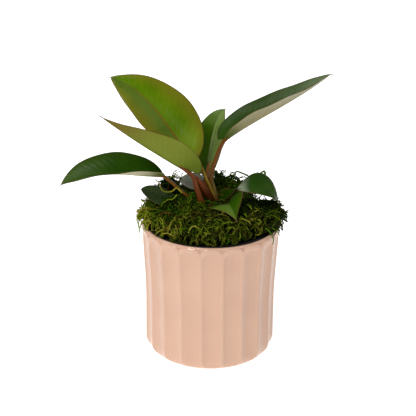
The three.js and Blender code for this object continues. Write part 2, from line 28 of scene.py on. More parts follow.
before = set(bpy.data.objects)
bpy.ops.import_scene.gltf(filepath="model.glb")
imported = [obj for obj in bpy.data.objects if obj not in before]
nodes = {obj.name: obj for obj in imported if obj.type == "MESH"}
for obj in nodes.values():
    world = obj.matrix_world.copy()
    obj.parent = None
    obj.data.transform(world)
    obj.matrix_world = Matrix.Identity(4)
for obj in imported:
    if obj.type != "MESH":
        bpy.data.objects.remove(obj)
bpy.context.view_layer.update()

# Sizes of the glazed pot
POT_HEIGHT = 129.0
RIM_RADIUS = 65.0
WAIST_RADIUS = 62.4
LOW_RADIUS = 62.7
MOUTH_RADIUS = 61.5
BASE_EDGE_RADIUS = 12.0
POT_FLOOR = 6.0
CAVITY_RADIUS = 58.0
FLUTES = 20
POINTS_PER_FLUTE = 36
FIRST_RIDGE_DEG = -8.2
FLUTE_TWIST_DEG = 2.2
LIP_HEIGHT = 1.5
LIP_RECESS = 0.8
ARCH_RADIUS = 7.6
FOOT_ARCH_RADIUS = 5.5
BORDER_SIDE = 1.3
BORDER_TOP = 3.4
BORDER_FOOT = 3.0
INNER_ARCH_RADIUS = 8.7
INNER_FOOT_RADIUS = 7.0
BORDER_HEIGHT = 0.6
TROUGH_DEPTH = 1.8
NOTCH_DEPTH = 1.3
NOTCH_EDGE = 1.8

# Sizes of the moss and of what it stands on
MIX_TOP = 117.0
GROWER_TOP = 127.8
GROWER_INSIDE = 53.5
GAP = 0.35
MOSS_FRONT = 54.3
MOSS_FRONT_SLANT = 2.2
MOSS_RIGHT = 69.0
MOSS_LEFT = 66.5
MOSS_BACK = 65.0
MOSS_LEVEL = 149.0
MOSS_BACK_HEAP = 12.0
MOSS_RIGHT_HOLLOW = 3.5
# Heaps on the moss: behind on the left, over the foot of the low left leaf, beside the stem, in front of it,
# and at the right edge
MOSS_HEAPS = [
    dict(x=-40, y=20, wide=10, deep=12, height=18),
    dict(x=-33, y=-7, wide=10, deep=8, height=6),
    dict(x=-17, y=0, wide=10, deep=8, height=6),
    dict(x=-2, y=-9, wide=12, deep=8, height=4),
    dict(x=60, y=6, wide=6, deep=12, height=5),
]
SPILL_RIGHT_DEG = 50.0
SPILL_LEFT_DEG = 62.0
LOOSE_DEPTH = 9.0
WELL_RADIUS = 7.5
PAST_EDGE_SLOPE = 1.6
STRAND_STEPS = 12
TWIGS_PER_STRAND = 2
MOSS_SEED = 11

# Floor and light; soft boxes with place, target and size in metres and power in watts
FLOOR_SIZE = 20000.0
FLOOR_BELOW = -0.3
FLOOR_GLOW = 0.86
WALL_LIGHT = 0.3
CEILING_LIGHT = 0.16
KEY_DIRECTION = (0.32, 0.52, -0.79)
KEY_STRENGTH = 1.72
KEY_SPREAD_DEG = 22
SOFTBOXES = {
    "left_box": dict(place=(-0.95, 0.10, 1.05), target=(0, 0, 0.2), size=(0.25, 0.4), power=2.2),
    "top_box": dict(place=(-0.40, 0.0, 1.42), target=(0, 0, 0.2), size=(0.25, 0.6), power=3.6),
    "side_strip": dict(place=(1.25, -0.55, 0.55), target=(0, 0, 0.12), size=(0.05, 0.9), power=0.9),
    "sparkle": dict(place=(-0.55, -0.75, 1.0), target=(0, 0, 0.1), size=(0.08, 0.08), power=0.6),
    "rim_left": dict(place=(-0.95, -0.58, 0.63), target=(0, 0, 0.12), size=(0.05, 0.05), power=0.15),
    "window_high": dict(place=(0.06, -0.91, 0.92), target=(-0.04, 0, 0.23), size=(0.05, 0.10), power=0.42),
    "window_low": dict(place=(0.27, -0.99, 0.72), target=(-0.02, 0, 0.21), size=(0.05, 0.10), power=0.42),
}

# Camera: the height on the pot's axis that it is placed from, how far away and how steeply above that point
# it stands, and how it is turned
CAMERA_DISTANCE = 1000.0
CAMERA_AIM_HEIGHT = 60.0
CAMERA_RISE_DEG = 26.51
CAMERA_PITCH_DEG = 22.14
CAMERA_YAW_DEG = -0.18
CAMERA_ROLL_DEG = 0.81
SENSOR_WIDTH = 36
LENS = 88.6

# Sizes of the plant
BLADE_THICKNESS = 0.55
CROWN_RADIUS = 7.0
CROWN_TOP = 143.0
CROWN_FOOT = 92.0
ROOTS = 5
VEIN_SPACING = 6.5
WAVE_SPACING = 5.5

# How finely blades are meshed, and how thick their ribs are
LARGE_BLADE = dict(rows=100, half_columns=16, rib=1.0)
SMALL_BLADE = dict(rows=52, half_columns=10, rib=0.5)
SHEATH_BLADE = dict(rows=40, half_columns=6, rib=0.2, thickness=0.5)

# Colours of the floor, the pots, the mix and the moss; a pair runs from a deep to a light tone
FLOOR_WHITE = [(0.70, 0.70, 0.70), (0.72, 0.72, 0.72)]
PINK = [(0.565, 0.345, 0.243), (0.595, 0.368, 0.260)]
PINK_BORDER = (0.72, 0.49, 0.37)
PINK_SPECK = (0.36, 0.17, 0.10)
BLACK = [(0.004, 0.004, 0.005), (0.010, 0.011, 0.012)]
PEAT = [(0.018, 0.010, 0.006), (0.085, 0.048, 0.026)]
PEAT_FIBRE = (0.16, 0.11, 0.07)
MOSS_GREEN = [(0.010, 0.055, 0.001), (0.045, 0.125, 0.001)]
MOSS_OLIVE = (0.150, 0.205, 0.005)
MOSS_YELLOW = (0.32, 0.30, 0.030)
MOSS_BROWN = (0.13, 0.055, 0.012)
# Painted shade: dull strands and the shaded right side of the mound darken towards this
MOSS_DULL_AND_SHADE = (0.006, 0.009, 0.001)
# Painted shade: the deep parts of the moss tangle darken towards this, nearly black
MOSS_PAINTED_SHADE = (0.003, 0.004, 0.001)

# Colours of the leaves
RIB_RED = (0.17, 0.085, 0.012)
LIME = [(0.060, 0.130, 0.000), (0.095, 0.175, 0.001)]
# Painted sheen: the duller grey-olive half of the lime leaf
LIME_SHEEN_HALF = [(0.068, 0.115, 0.008), (0.100, 0.155, 0.018)]
OLIVE = [(0.105, 0.135, 0.008), (0.150, 0.175, 0.016)]
# Painted light and shade: the shaded and the lit half of the upright leaf
SHADED_HALF_GREEN = [(0.024, 0.066, 0.000), (0.046, 0.104, 0.001)]
LIT_HALF_GREEN = [(0.075, 0.120, 0.016), (0.105, 0.160, 0.030)]
GREEN = [(0.013, 0.038, 0.001), (0.025, 0.058, 0.004)]
DEEP = [(0.009, 0.038, 0.000), (0.020, 0.062, 0.000)]
GREY = [(0.038, 0.072, 0.022), (0.062, 0.105, 0.036)]
# Painted sheen: the silvery grey of the small back leaf
SILVER_SHEEN = [(0.190, 0.205, 0.165), (0.350, 0.360, 0.310)]
SHADE = [(0.008, 0.026, 0.000), (0.016, 0.042, 0.001)]
FRESH = [(0.012, 0.044, 0.000), (0.026, 0.074, 0.000)]
# Painted highlight: the paler half of the low front leaf
FRESH_LIT_HALF = [(0.050, 0.105, 0.006), (0.090, 0.150, 0.022)]
GLOSSY = [(0.015, 0.048, 0.003), (0.032, 0.076, 0.009)]
BRONZE = (0.150, 0.140, 0.008)
SHADE_BROWN = (0.024, 0.036, 0.003)
EDGE_BROWN = (0.10, 0.045, 0.012)
UNDER_EDGE_BROWN = (0.09, 0.045, 0.012)
MARGIN = [(0.10, 0.035, 0.014), (0.24, 0.10, 0.04)]
BASE_GREEN = (0.07, 0.085, 0.008)

# The upper faces, by the name of the look that each leaf asks for
LEAF_FACES = {
    # Painted light: one half is painted a duller grey-olive as sheen, and the lighter, yellower base is
    # partly a painted highlight
    "lime": dict(
        halves=(LIME, LIME_SHEEN_HALF), edge=BRONZE, bronze=0.9, base=(0.155, 0.235, 0.012), rib=RIB_RED,
        vein=0.06, gloss=0.2, shine=0.07,
    ),
    "olive": dict(halves=(OLIVE, OLIVE), edge=BRONZE, bronze=0.6, rib=RIB_RED, gloss=0.34),
    # Painted sheen: the greyish tone towards the tip
    "dark": dict(halves=(GREEN, GREEN), bronze=0.3, base=(0.018, 0.054, 0.002), tip=(0.095, 0.135, 0.060)),
    # Painted light and shade: one half is painted lit and the other shaded, and the pale rib is a painted
    # highlight
    "upright": dict(halves=(LIT_HALF_GREEN, SHADED_HALF_GREEN), bronze=0.1, tip=(0.160, 0.240, 0.060), rib=(0.16, 0.20, 0.07)),
    "deep": dict(halves=(DEEP, DEEP), bronze=0.3, base=(0.012, 0.042, 0.000), tip=(0.036, 0.075, 0.006)),
    "grey": dict(halves=(GREY, GREY), bronze=0.2, gloss=0.45),
    # Painted sheen: both halves a silvery grey
    "silver_sheen": dict(halves=(SILVER_SHEEN, SILVER_SHEEN), base=SHADE[1]),
    "shade": dict(halves=(SHADE, SHADE), bronze=0.2, gloss=0.5, shine=0.0),
    # Painted highlight: one half is painted paler, as if lit
    "low_front": dict(
        halves=(FRESH_LIT_HALF, FRESH), edge=(0.060, 0.080, 0.004), bronze=0.3, base=SHADE[1], shine=0.02
    ),
    # Painted highlight: the pale cream tone at the base
    "low_right": dict(halves=(GLOSSY, GLOSSY), bronze=0.3, base=(0.22, 0.25, 0.17), shine=0.06),
}

# The undersides: olive on the young leaves, cream on the others
LEAF_UNDERSIDES = {
    "lime": dict(pale=(0.17, 0.22, 0.03), dull=(0.13, 0.17, 0.02), base=BASE_GREEN, tip=BRONZE),
    "olive": dict(
        pale=(0.185, 0.215, 0.024), dull=(0.130, 0.165, 0.010), base=(0.085, 0.125, 0.002),
        tip=(0.140, 0.100, 0.010), vein=0.05,
    ),
    "dark": dict(
        pale=(0.30, 0.265, 0.13), dull=(0.16, 0.155, 0.07), base=(0.045, 0.085, 0.004),
        tip=(0.25, 0.23, 0.14),
    ),
    "pale": dict(pale=(0.46, 0.43, 0.27), dull=(0.30, 0.29, 0.16), base=BASE_GREEN, tip=(0.30, 0.28, 0.17)),
}

# Stalks: the colour below, the olive of the upper side and how far that covers
STALKS = {
    "red": dict(red=(0.125, 0.032, 0.005), olive=(0.11, 0.08, 0.02), share=0.35),
    "brown": dict(red=(0.105, 0.034, 0.002), olive=(0.11, 0.070, 0.006), share=0.5),
    "rust": dict(red=(0.165, 0.060, 0.004), olive=(0.14, 0.08, 0.006), share=0.5),
    "olive": dict(red=(0.21, 0.13, 0.010), olive=(0.29, 0.22, 0.024), share=0.8),
    "dark": dict(red=(0.020, 0.008, 0.002), olive=(0.025, 0.015, 0.002), share=0.5),
}

# Sheaths: the tones at the foot and at the tip
SHEATH_TONES = {
    "red": [(0.055, 0.012, 0.001), (0.150, 0.030, 0.002)],
    "brown": [(0.09, 0.028, 0.003), (0.17, 0.065, 0.012)],
    "olive": [(0.13, 0.06, 0.010), (0.15, 0.13, 0.025)],
}


# Small maths on arrays


def smooth(low, high, x):
    t = np.clip((x - low) / (high - low), 0.0, 1.0)
    return t * t * (3.0 - 2.0 * t)


def lerp(a, b, t):
    return a + (b - a) * t


def unit(v):
    return v / np.linalg.norm(v, axis=-1, keepdims=True)


def around(radius, azimuth, z):
    """Points at an azimuth counted from the front, towards the right."""
    x = radius * np.sin(azimuth)
    y = -radius * np.cos(azimuth)
    return np.stack([x, y, z + 0.0 * x], axis=-1)


def full_turn(count):
    return np.linspace(0, 2 * np.pi, count, endpoint=False)


def bezier(control, t):
    p = np.asarray(control, float)
    t = np.asarray(t, float)[:, None]
    s = 1.0 - t
    return s**3 * p[0] + 3 * s**2 * t * p[1] + 3 * s * t**2 * p[2] + t**3 * p[3]


def bezier_direction(control, t):
    p = np.asarray(control, float)
    t = np.asarray(t, float)[:, None]
    s = 1.0 - t
    return unit(s**2 * (p[1] - p[0]) + 2 * s * t * (p[2] - p[1]) + t**2 * (p[3] - p[2]))


def through(points, count):
    """Evenly counted points on a smooth curve through the given points."""
    p = np.asarray(points, float)
    p = np.vstack([2 * p[0] - p[1], p, 2 * p[-1] - p[-2]])
    spans = len(p) - 3
    at = np.linspace(0.0, spans - 1e-9, count)
    i = at.astype(int)
    t = (at - i)[:, None]
    a, b, c, d = p[i], p[i + 1], p[i + 2], p[i + 3]
    return 0.5 * (2 * b + (c - a) * t + (2 * a - 5 * b + 4 * c - d) * t**2 + (3 * b - a - 3 * c + d) * t**3)


# Meshes from grids of points


def grid_quads(rows, columns, closed=True, first=0, looped=False):
    """Faces between rings of points, one ring after another; looped joins the last ring to the first."""
    down = np.arange(rows if looped else rows - 1)
    across = np.arange(columns if closed else columns - 1)
    i, j = np.meshgrid(down, across, indexing="ij")
    k = (j + 1) % columns
    n = (i + 1) % rows
    quads = [i * columns + j, i * columns + k, n * columns + k, n * columns + j]
    return np.stack(quads, axis=-1).reshape(-1, 4) + first


def put_in_scene(name, data):
    thing = bpy.data.objects.new(name, data)
    bpy.context.scene.collection.objects.link(thing)
    return thing


def make_piece(name, points, quads, materials, attributes, caps=(), face_slots=None):
    """One object from four-sided faces, with caps of any number of corners and facts for each point."""
    mesh = bpy.data.meshes.new(name)
    corners = np.concatenate([np.asarray(quads).ravel(), *[np.asarray(c) for c in caps]]).astype(np.int32)
    starts = list(range(0, 4 * len(quads), 4))
    at = 4 * len(quads)
    for cap in caps:
        starts.append(at)
        at += len(cap)
    mesh.vertices.add(len(points))
    mesh.vertices.foreach_set("co", (np.asarray(points, float) * MM).ravel())
    mesh.loops.add(len(corners))
    mesh.loops.foreach_set("vertex_index", corners)
    mesh.polygons.add(len(starts))
    mesh.polygons.foreach_set("loop_start", np.array(starts, np.int32))
    mesh.polygons.foreach_set("use_smooth", np.ones(len(starts), bool))
    if face_slots is not None:
        mesh.polygons.foreach_set("material_index", np.asarray(face_slots, np.int32))
    mesh.update(calc_edges=True)
    mesh.validate()
    for key, values in attributes.items():
        layer = mesh.attributes.new(key, "FLOAT", "POINT")
        layer.data.foreach_set("value", np.asarray(values, np.float32).ravel())
    for material in materials:
        mesh.materials.append(material)
    piece = put_in_scene(name, mesh)
    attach(piece, "root")
    return piece


def tube(path, radii, sides=16, flat=1.0, groove=0.0):
    """Rings of points round a path; flat squashes the ring, groove dents its upper side."""
    path = np.asarray(path, float)
    along = unit(np.gradient(path, axis=0))
    aside = unit(np.cross(along[0], [0.0, 0.0, 1.0]) + 1e-6)
    rings = []
    angles = full_turn(sides)
    for centre, direction, radius in zip(path, along, np.broadcast_to(radii, len(path))):
        aside = unit(aside - direction * np.dot(aside, direction))
        up = np.cross(aside, direction)
        dent = 1.0 - groove * np.exp(-(((angles - np.pi / 2) / 0.5) ** 2))
        ring = np.cos(angles)[:, None] * aside + flat * (np.sin(angles) * dent)[:, None] * up
        rings.append(centre + radius * ring)
    return np.array(rings)


def join_tubes(tubes, first=0):
    """Points, faces and end caps of several tubes for one mesh, counted from a first point."""
    points, quads, caps = [], [], []
    for rings in tubes:
        rows, sides = rings.shape[:2]
        last = first + (rows - 1) * sides
        points.append(rings.reshape(-1, 3))
        quads.append(grid_quads(rows, sides, first=first))
        caps += [list(range(first, first + sides))[::-1], list(range(last, last + sides))]
        first += rows * sides
    return np.concatenate(points), np.concatenate(quads), caps


# Materials


class Look:
    """A material under construction, with short calls for its nodes."""

    def __init__(self, name):
        self.material = bpy.data.materials.new(name)
        self.material.use_nodes = True
        self.tree = self.material.node_tree
        self.shader = self.tree.nodes["Principled BSDF"]

    def plug(self, socket, value):
        if isinstance(value, bpy.types.NodeSocket):
            self.tree.links.new(value, socket)
        elif isinstance(value, tuple) and len(value) == 3 and socket.type == "RGBA":
            socket.default_value = (*value, 1.0)
        else:
            socket.default_value = value

    def set(self, **values):
        for key, value in values.items():
            self.plug(self.shader.inputs[key.replace("_", " ")], value)

    def attribute(self, name):
        node = self.tree.nodes.new("ShaderNodeAttribute")
        node.attribute_name = name
        return node.outputs["Fac"]

    def place(self):
        return self.tree.nodes.new("ShaderNodeTexCoord").outputs["Object"]

    def noise(self, scale, detail=3.0, roughness=0.55, where=None):
        node = self.tree.nodes.new("ShaderNodeTexNoise")
        self.plug(node.inputs["Vector"], where or self.place())
        node.inputs["Scale"].default_value = scale
        node.inputs["Detail"].default_value = detail
        node.inputs["Roughness"].default_value = roughness
        return node.outputs["Fac"]

    def cells(self, scale):
        node = self.tree.nodes.new("ShaderNodeTexVoronoi")
        self.plug(node.inputs["Vector"], self.place())
        node.inputs["Scale"].default_value = scale
        return node.outputs["Distance"]

    def math(self, operation, a, b=0.0):
        node = self.tree.nodes.new("ShaderNodeMath")
        node.operation = operation
        for socket, value in zip(node.inputs, (a, b)):
            self.plug(socket, value)
        return node.outputs[0]

    def times(self, a, b):
        return self.math("MULTIPLY", a, b)

    def plus(self, a, b):
        return self.math("ADD", a, b)

    def step(self, value, low, high, to_low=0.0, to_high=1.0):
        node = self.tree.nodes.new("ShaderNodeMapRange")
        node.interpolation_type = "SMOOTHSTEP"
        for key, item in (("Value", value), ("From Min", low), ("From Max", high)):
            self.plug(node.inputs[key], item)
        node.inputs["To Min"].default_value = to_low
        node.inputs["To Max"].default_value = to_high
        return node.outputs["Result"]

    def mix(self, share, a, b):
        node = self.tree.nodes.new("ShaderNodeMix")
        node.data_type = "RGBA"
        self.plug(node.inputs["Factor"], share)
        colours = [s for s in node.inputs if s.type == "RGBA"]
        self.plug(colours[0], a)
        self.plug(colours[1], b)
        return [s for s in node.outputs if s.type == "RGBA"][0]

    def pair(self, x, y):
        node = self.tree.nodes.new("ShaderNodeCombineXYZ")
        self.plug(node.inputs["X"], x)
        self.plug(node.inputs["Y"], y)
        return node.outputs["Vector"]

    def stretch(self, x, y, z):
        node = self.tree.nodes.new("ShaderNodeMapping")
        node.inputs["Scale"].default_value = (x, y, z)
        self.tree.links.new(self.place(), node.inputs["Vector"])
        return node.outputs["Vector"]

    def bump(self, height, strength, distance=0.0004):
        node = self.tree.nodes.new("ShaderNodeBump")
        node.inputs["Strength"].default_value = strength
        node.inputs["Distance"].default_value = distance
        self.plug(node.inputs["Height"], height)
        self.tree.links.new(node.outputs["Normal"], self.shader.inputs["Normal"])
        return self


def glaze():
    look = Look("pink_glaze")
    cloud = look.noise(22, 3)
    raised = look.attribute("raised")
    colour = look.mix(look.step(cloud, 0.3, 0.7), *PINK)
    colour = look.mix(look.step(raised, 0.35, 1.0, 0.0, 0.08), colour, PINK_BORDER)
    near = look.cells(230)
    rare = look.step(look.noise(95, 1), 0.64, 0.68)
    speck = look.times(look.step(near, 0.08, 0.14, 1.0, 0.0), rare)
    colour = look.mix(look.times(speck, 0.5), colour, PINK_SPECK)
    look.set(Base_Color=colour, Roughness=look.step(cloud, 0.2, 0.8, 0.2, 0.26))
    look.set(Specular_IOR_Level=0.0, Coat_Weight=0.85, Coat_Roughness=0.05)
    return look.bump(look.noise(90, 2), 0.06, 0.0005).material


def black_plastic():
    look = Look("black_plastic")
    grain = look.noise(900, 2)
    rough = look.step(grain, 0.3, 0.7, 0.4, 0.55)
    look.set(Base_Color=look.mix(grain, *BLACK), Roughness=rough, Specular_IOR_Level=0.3)
    return look.bump(grain, 0.15, 0.0002).material


def peat():
    look = Look("potting_mix")
    near = look.cells(420)
    crumb = look.noise(260, 5, 0.7)
    colour = look.mix(crumb, *PEAT)
    colour = look.mix(look.step(near, 0.0, 0.35, 0.4, 0.0), colour, PEAT_FIBRE)
    look.set(Base_Color=colour, Roughness=0.95)
    return look.bump(look.plus(crumb, near), 0.9, 0.0015).material


def stalk_skin(name, red, olive, share):
    """Glossy skin, reddest below, with fine streaks and an olive upper side."""
    look = Look(name)
    streak = look.noise(1.0, 3, where=look.stretch(420, 420, 60))
    middle = look.attribute("top_side")
    colour = look.mix(streak, tuple(0.6 * c for c in red), tuple(1.4 * c for c in red))
    green = look.times(look.step(middle, 0.3, 0.9), share)
    colour = look.mix(green, colour, look.mix(streak, tuple(0.7 * c for c in olive), olive))
    look.set(Base_Color=colour, Roughness=look.step(streak, 0.2, 0.8, 0.22, 0.36))
    look.set(Specular_IOR_Level=0.15)
    return look.bump(streak, 0.25).material


def vein_lines(look):
    """1 on a lateral vein and 0 between two of them."""
    phase = look.math("FRACT", look.attribute("vein_phase"))
    off = look.math("ABSOLUTE", look.math("SUBTRACT", phase, 0.5))
    line = look.step(off, 0.36, 0.5)
    away = look.step(look.attribute("edge_mm"), 0.4, 3.0)
    return look.times(line, away)


def leaf_face(
    name, halves, edge=SHADE_BROWN, bronze=0.0, base=None, tip=None, rib=None,
    vein=0.05, gloss=0.3, shine=0.1,
):
    """The upper face of a blade: a deep and a light tone for each half, and tones of its own at the base,
    at the tip, along the edge and on the rib. Where a leaf's two halves differ, one is painted lit and the
    other shaded."""
    look = Look(name)
    first, second = halves
    mottle = look.noise(42, 3, 0.5)
    fine = look.noise(600, 2)
    tone = look.step(mottle, 0.25, 0.75)
    half = look.step(look.attribute("half"), 0.2, 0.8)
    # Painted light and shade: on leaves whose halves get different tones, one half is painted lit and the
    # other shaded.
    colour = look.mix(half, look.mix(tone, *first), look.mix(tone, *second))
    along = look.attribute("along")
    uneven = look.plus(along, look.times(mottle, 0.3))
    if base:
        colour = look.mix(look.step(uneven, 0.2, 0.45, 0.9, 0.0), colour, base)
    if tip:
        colour = look.mix(look.step(uneven, 0.6, 1.05, 0.0, 0.9), colour, tip)
    reach = look.plus(look.attribute("across"), look.times(mottle, 0.6))
    colour = look.mix(look.times(look.step(reach, 0.65, 1.3), bronze), colour, edge)
    veins = vein_lines(look)
    colour = look.mix(look.times(veins, vein), colour, tuple(1.3 * c for c in second[1]))
    if rib:
        on_rib = look.step(look.attribute("rib_share"), 0.4, 0.9, 0.8, 0.0)
        fades = look.step(along, 0.5, 0.95, 1.0, 0.15)
        colour = look.mix(look.times(on_rib, fades), colour, rib)
    on_edge = look.step(look.attribute("edge_mm"), 0.15, 0.6, 0.7, 0.0)
    colour = look.mix(on_edge, colour, EDGE_BROWN)
    look.set(Base_Color=colour, Roughness=look.step(fine, 0.3, 0.7, gloss - 0.04, gloss + 0.05))
    look.set(Specular_IOR_Level=shine)
    height = look.plus(look.times(veins, -0.4), look.times(fine, 0.1))
    return look.bump(height, 0.3).material


def leaf_underside(name, pale, dull, base, tip, vein=0.12):
    """The paler underside, greener at the base, with fine streaks along the blade."""
    look = Look(name)
    along = look.attribute("along")
    streak = look.noise(9.0, 3, where=look.pair(along, look.attribute("rib_mm")))
    colour = look.mix(look.step(streak, 0.3, 0.7), dull, pale)
    uneven = look.plus(along, look.times(look.noise(30, 2), 0.3))
    colour = look.mix(look.step(uneven, 0.16, 0.42, 0.95, 0.0), colour, base)
    colour = look.mix(look.step(uneven, 0.55, 1.0, 0.0, 0.9), colour, tip)
    veins = vein_lines(look)
    colour = look.mix(look.times(veins, vein), colour, tuple(0.72 * c for c in dull))
    on_edge = look.step(look.attribute("edge_mm"), 0.15, 0.7, 0.75, 0.0)
    colour = look.mix(on_edge, colour, UNDER_EDGE_BROWN)
    look.set(Base_Color=colour, Roughness=look.step(streak, 0.2, 0.8, 0.42, 0.55))
    look.set(Specular_IOR_Level=0.12)
    return look.bump(veins, 0.15, 0.0003).material


def leaf_margin():
    look = Look("leaf_margin")
    grain = look.noise(500, 2)
    look.set(Base_Color=look.mix(grain, *MARGIN), Roughness=0.45)
    return look.material


def moss_look(name):
    """Strand colour from hue (0 dark green, 1 yellow), with dull strands and painted shade much darker; deep
    in the tangle the painted shade is nearly black.
    """
    look = Look(name)
    hue = look.attribute("hue")
    tone = look.attribute("tone")
    painted_light_share = look.attribute("painted_light_share")
    colour = look.mix(look.step(hue, 0.0, 0.4), *MOSS_GREEN)
    colour = look.mix(look.step(hue, 0.35, 0.75), colour, MOSS_OLIVE)
    colour = look.mix(look.step(hue, 0.75, 1.0), colour, MOSS_YELLOW)
    brown = look.step(look.attribute("brown"), 0.0, 1.0)
    colour = look.mix(brown, colour, MOSS_BROWN)
    # Painted light and shade: tone darkens dull strands and the shaded right side, and is raised at the
    # sunlit left edge.
    colour = look.mix(look.step(tone, 0.0, 1.0, 0.88, 0.0), colour, MOSS_DULL_AND_SHADE)
    # Painted shade: the lower a part lies in the tangle, the nearer black it is painted.
    colour = look.mix(look.step(painted_light_share, 0.05, 0.9, 0.96, 0.0), colour, MOSS_PAINTED_SHADE)
    look.set(Base_Color=colour, Roughness=0.75, Specular_IOR_Level=0.05)
    return look.bump(look.noise(1500, 2), 0.5).material


def paper_sheath(name, low, high):
    look = Look(name)
    fibre = look.noise(1.0, 4, where=look.stretch(900, 900, 60))
    along = look.attribute("along")
    colour = look.mix(look.step(along, 0.1, 0.95), low, high)
    colour = look.mix(look.times(fibre, 0.5), colour, tuple(0.5 * c for c in low))
    look.set(Base_Color=colour, Roughness=look.step(fibre, 0.2, 0.8, 0.3, 0.5), Specular_IOR_Level=0.15)
    return look.bump(fibre, 0.35).material


# The glazed pot


def wall_radius(z):
    flare = smooth(0.45 * POT_HEIGHT, POT_HEIGHT, z)
    belly = 1.0 - smooth(0.1 * POT_HEIGHT, 0.45 * POT_HEIGHT, z)
    return WAIST_RADIUS + flare * (RIM_RADIUS - WAIST_RADIUS) + belly * (LOW_RADIUS - WAIST_RADIUS)


def outline_distance(across, z, half, top, foot, arch, foot_arch):
    """Distance from a rounded upright outline, negative inside it."""
    middle = (top + foot) / 2
    corner = np.where(z > middle, arch, foot_arch)
    dx = np.abs(across) - half + corner
    dz = np.abs(z - middle) - (top - foot) / 2 + corner
    outside = np.hypot(np.maximum(dx, 0), np.maximum(dz, 0))
    return np.minimum(np.maximum(dx, dz), 0) + outside - corner


def relief(azimuth, z):
    """Height of the surface over the flutes' borders, and how far up the border it is."""
    pitch = 2 * math.pi / FLUTES
    half = pitch * RIM_RADIUS / 2
    top = POT_HEIGHT - LIP_HEIGHT
    turn = (azimuth - math.radians(FIRST_RIDGE_DEG)) / pitch
    across = (turn - np.floor(turn) - 0.5) * pitch * RIM_RADIUS
    outer = outline_distance(across, z, half, top, 0.0, ARCH_RADIUS, FOOT_ARCH_RADIUS)
    reach = half - BORDER_SIDE
    ends = (top - BORDER_TOP, BORDER_FOOT)
    within = -outline_distance(across, z, reach, *ends, INNER_ARCH_RADIUS, INNER_FOOT_RADIUS)
    dip = smooth(-1.6, 2.0, within)
    bow = np.clip(within / reach, 0, 1)
    inside = -BORDER_HEIGHT * dip - TROUGH_DEPTH * (1 - (1 - bow) ** 2)
    notch = smooth(0.0, NOTCH_EDGE, outer)
    height = np.where(outer > 0, -NOTCH_DEPTH * notch, inside)
    plain = smooth(top - 0.3, top + 0.8, z)
    border = np.where(outer > 0, 1.0 - notch, 1.0 - dip)
    return height * (1.0 - plain) - LIP_RECESS * plain, np.maximum(border, plain)


def pot_outside(azimuth):
    """Rings of the outer wall, from the round base edge up to the lip, with how far up a border each is."""
    turn = np.radians(np.linspace(0, 90, 22))
    edge_r = LOW_RADIUS - BASE_EDGE_RADIUS + BASE_EDGE_RADIUS * np.sin(turn)
    edge_z = BASE_EDGE_RADIUS * (1 - np.cos(turn))
    spans = [np.linspace(13, 108, 16), np.linspace(110, 121, 12), np.linspace(121.3, POT_HEIGHT - 0.7, 32)]
    wall_z = np.concatenate(spans)
    radius = np.concatenate([edge_r, wall_radius(wall_z)])
    out = np.concatenate([np.sin(turn), np.ones(len(wall_z))])[:, None]
    down = np.concatenate([np.cos(turn) * smooth(0, np.radians(20), turn), np.zeros(len(wall_z))])[:, None]
    grid_a, grid_z = np.meshgrid(azimuth, np.concatenate([edge_z, wall_z]))
    raised, border = relief(grid_a, grid_z)
    twist = math.radians(FLUTE_TWIST_DEG) * (1 - grid_z / POT_HEIGHT)
    return around(radius[:, None] + out * raised, grid_a + twist, grid_z - down * raised), border


def pot_inside():
    """Radius and height from the outer edge of the lip over the mouth and down to the inside floor."""
    lip_radius = RIM_RADIUS - LIP_RECESS
    lip = [(lip_radius - 0.06, -0.4), (lip_radius - 0.25, -0.15)]
    lip += [(lip_radius - 0.55, -0.03), (lip_radius - 1.0, 0.0)]
    lip += [(MOUTH_RADIUS + 0.7, 0.0), (MOUTH_RADIUS + 0.1, -0.3), (MOUTH_RADIUS - 0.2, -1.0)]
    inner = [(r, POT_HEIGHT + z) for r, z in lip]
    inner += [(MOUTH_RADIUS - 0.3, 116.0), (CAVITY_RADIUS, 107.0), (CAVITY_RADIUS, POT_FLOOR + 10)]
    inner += [(CAVITY_RADIUS - 2, POT_FLOOR + 3), (CAVITY_RADIUS - 9, POT_FLOOR), (4.0, POT_FLOOR)]
    return inner


def glazed_pot(material):
    count = FLUTES * POINTS_PER_FLUTE
    azimuth = np.radians(FIRST_RIDGE_DEG) + full_turn(count)
    outer, border = pot_outside(azimuth)
    rings = [around(np.full(count, r), azimuth, z) for r, z in pot_inside()]
    foot = [around(np.full(count, r), azimuth, 0.0) for r in (4.0, 30.0)]
    points = np.concatenate([np.array(foot), outer, np.array(rings)])
    rows = len(points)
    border = np.concatenate([np.zeros((2, count)), border, np.full((len(rings), count), 0.9)])
    last = (rows - 1) * count
    caps = [list(range(count))[::-1], list(range(last, last + count))]
    flat = points.reshape(-1, 3)
    quads = grid_quads(rows, count)
    piece = make_piece("glazed_pot_skin", flat, quads, [material], {"raised": border}, caps)
    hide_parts("glazed_pot")


